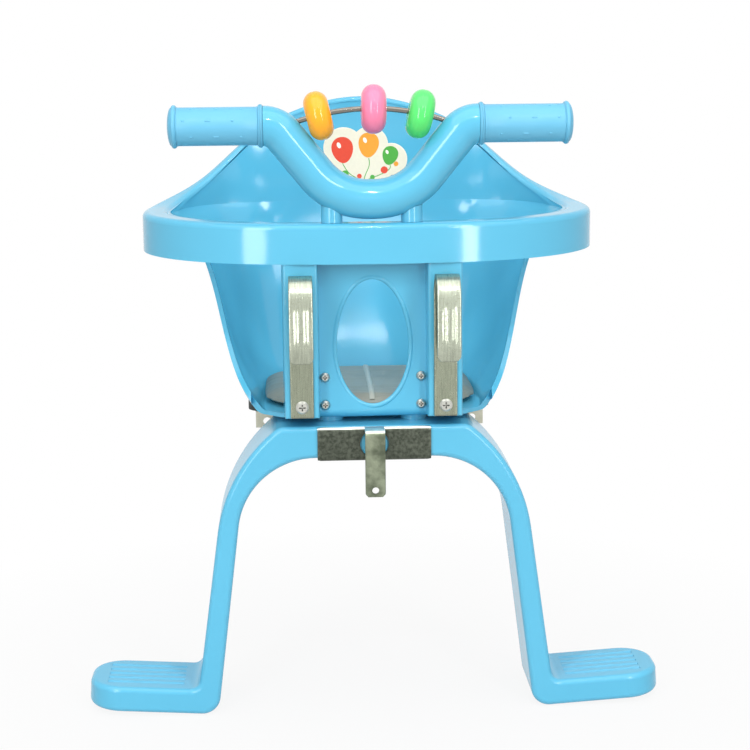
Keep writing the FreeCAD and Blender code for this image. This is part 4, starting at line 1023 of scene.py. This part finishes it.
def white_card(name):
    """Matt white card: plain pale grey to the light that falls on it, nearly white to the eye."""
    made, tree, place = start_material(name)
    far = add(tree, "ShaderNodeVectorMath", {0: place}, operation="LENGTH")
    fade = add(tree, "ShaderNodeMapRange", {
        "Value": far.outputs["Value"], "From Min": floor_fade, "From Max": 0.8 * floor_radius,
        "To Min": 0.87, "To Max": 1.0})
    plain = add(tree, "ShaderNodeBsdfDiffuse", {"Color": linear("#C9C9C9")})
    glow = add(tree, "ShaderNodeEmission", {"Color": linear("#FFFFFF"), "Strength": 1.0})
    pale = add(tree, "ShaderNodeMixShader", {0: fade.outputs[0], 1: plain.outputs[0], 2: glow.outputs[0]})
    shown = add(tree, "ShaderNodeMixShader", {
        0: white_ground(tree).outputs[0], 1: plain.outputs[0], 2: pale.outputs[0]})
    add(tree, "ShaderNodeOutputMaterial", {"Surface": shown.outputs[0]})
    return made


floor_height = cad_box[0][2] - floor_gap
floor_turns = [2 * math.pi * i / floor_points for i in range(floor_points)]
floor_ring = [(floor_radius * math.cos(a), floor_radius * math.sin(a), floor_height) for a in floor_turns]
new_piece("studio_floor", floor_ring, [tuple(range(floor_points))], white_card("matt_white_floor"))

# Studio lamps: tall soft boxes on both sides in front, a large one above, a small lamp by the
# camera and one higher up for the small bright spots, and a faint one inside the bucket.


def lamp(name, place, aim, size, watts):
    """A rectangular lamp at a place, turned to what it lights."""
    light = bpy.data.lights.new(name, "AREA")
    light.shape = "RECTANGLE"
    light.size, light.size_y = size
    light.energy = watts
    piece = bpy.data.objects.new(name, light)
    piece.location = place
    piece.rotation_euler = (Vector(aim) - Vector(place)).to_track_quat("-Z", "Y").to_euler()
    bpy.context.scene.collection.objects.link(piece)


lamp("soft_box_left", (-0.76, -1.32, 0.40), (0, 0.05, 0.0), (0.32, 1.4), 12)
lamp("soft_box_right", (0.66, -1.36, 0.40), (0, 0.05, 0.0), (0.18, 1.4), 10.5)
lamp("soft_box_above", (0.0, -0.55, 1.6), (0, 0.08, 0), (2.8, 1.8), 22)
lamp("camera_lamp", (0.06, -1.32, 0.32), (0, 0.05, -0.05), (0.022, 0.022), 0.10)
lamp("spot_lamp", (0.07, -1.0, 1.05), (0, 0.05, 0), (0.05, 0.05), 2.6)
lamp("bucket_fill", (0.0, 0.05, 0.02), (0, 0.2, -0.05), (0.12, 0.03), 0.07)

# Studio walls: white to the eye and in mirrors, while the light they give rises from dim at the
# floor to brighter overhead, with a paler backdrop behind the seat.

world = bpy.data.worlds.new("studio_world")
world.use_nodes = True
tree = world.node_tree
tree.nodes.clear()
way = add(tree, "ShaderNodeSeparateXYZ", {"Vector": add(tree, "ShaderNodeTexCoord").outputs["Generated"]})
rising = add(tree, "ShaderNodeMapRange", {
    "Value": way.outputs["Z"], "From Min": -0.1, "From Max": 0.5, "To Min": 0.14, "To Max": 0.62})
backdrop = add(tree, "ShaderNodeMapRange", {
    "Value": way.outputs["Y"], "From Min": 0.1, "From Max": 0.6, "To Min": 0.0, "To Max": 0.3})
around = add(tree, "ShaderNodeMath", {0: rising.outputs[0], 1: backdrop.outputs[0]}, operation="MAXIMUM")
strength = add(tree, "ShaderNodeMix", {
    "Factor": white_ground(tree).outputs[0], 2: around.outputs[0], 3: 1.0})
sky = add(tree, "ShaderNodeBackground", {"Color": (1, 1, 1, 1), "Strength": strength.outputs[0]})
add(tree, "ShaderNodeOutputWorld", {"Surface": sky.outputs[0]})
bpy.context.scene.world = world

# Camera: where the photograph's camera stood, a little left of the middle and above the rim,
# with a slight roll.

camera_place = Vector((-57.0, -1258.7, 184.6)) * mm
camera_aim = Vector((0.9, 16.5, -61.2)) * mm
camera_roll = math.radians(0.55)
camera_lens = 83.2
ahead = (camera_aim - camera_place).normalized()
right = ahead.cross(Vector((0, 0, 1))).normalized()
up = right.cross(ahead)
right_rolled = right * math.cos(camera_roll) - up * math.sin(camera_roll)
up_rolled = right * math.sin(camera_roll) + up * math.cos(camera_roll)
turned = Matrix((right_rolled, up_rolled, -ahead)).transposed().to_4x4()
view = bpy.data.cameras.new("photo_camera")
view.lens = camera_lens
view.sensor_width = 36.0
view.clip_end = 50.0
camera = bpy.data.objects.new("photo_camera", view)
camera.matrix_world = Matrix.Translation(camera_place) @ turned
bpy.context.scene.collection.objects.link(camera)
bpy.context.scene.camera = camera
bpy.context.scene.view_settings.view_transform = "Standard"
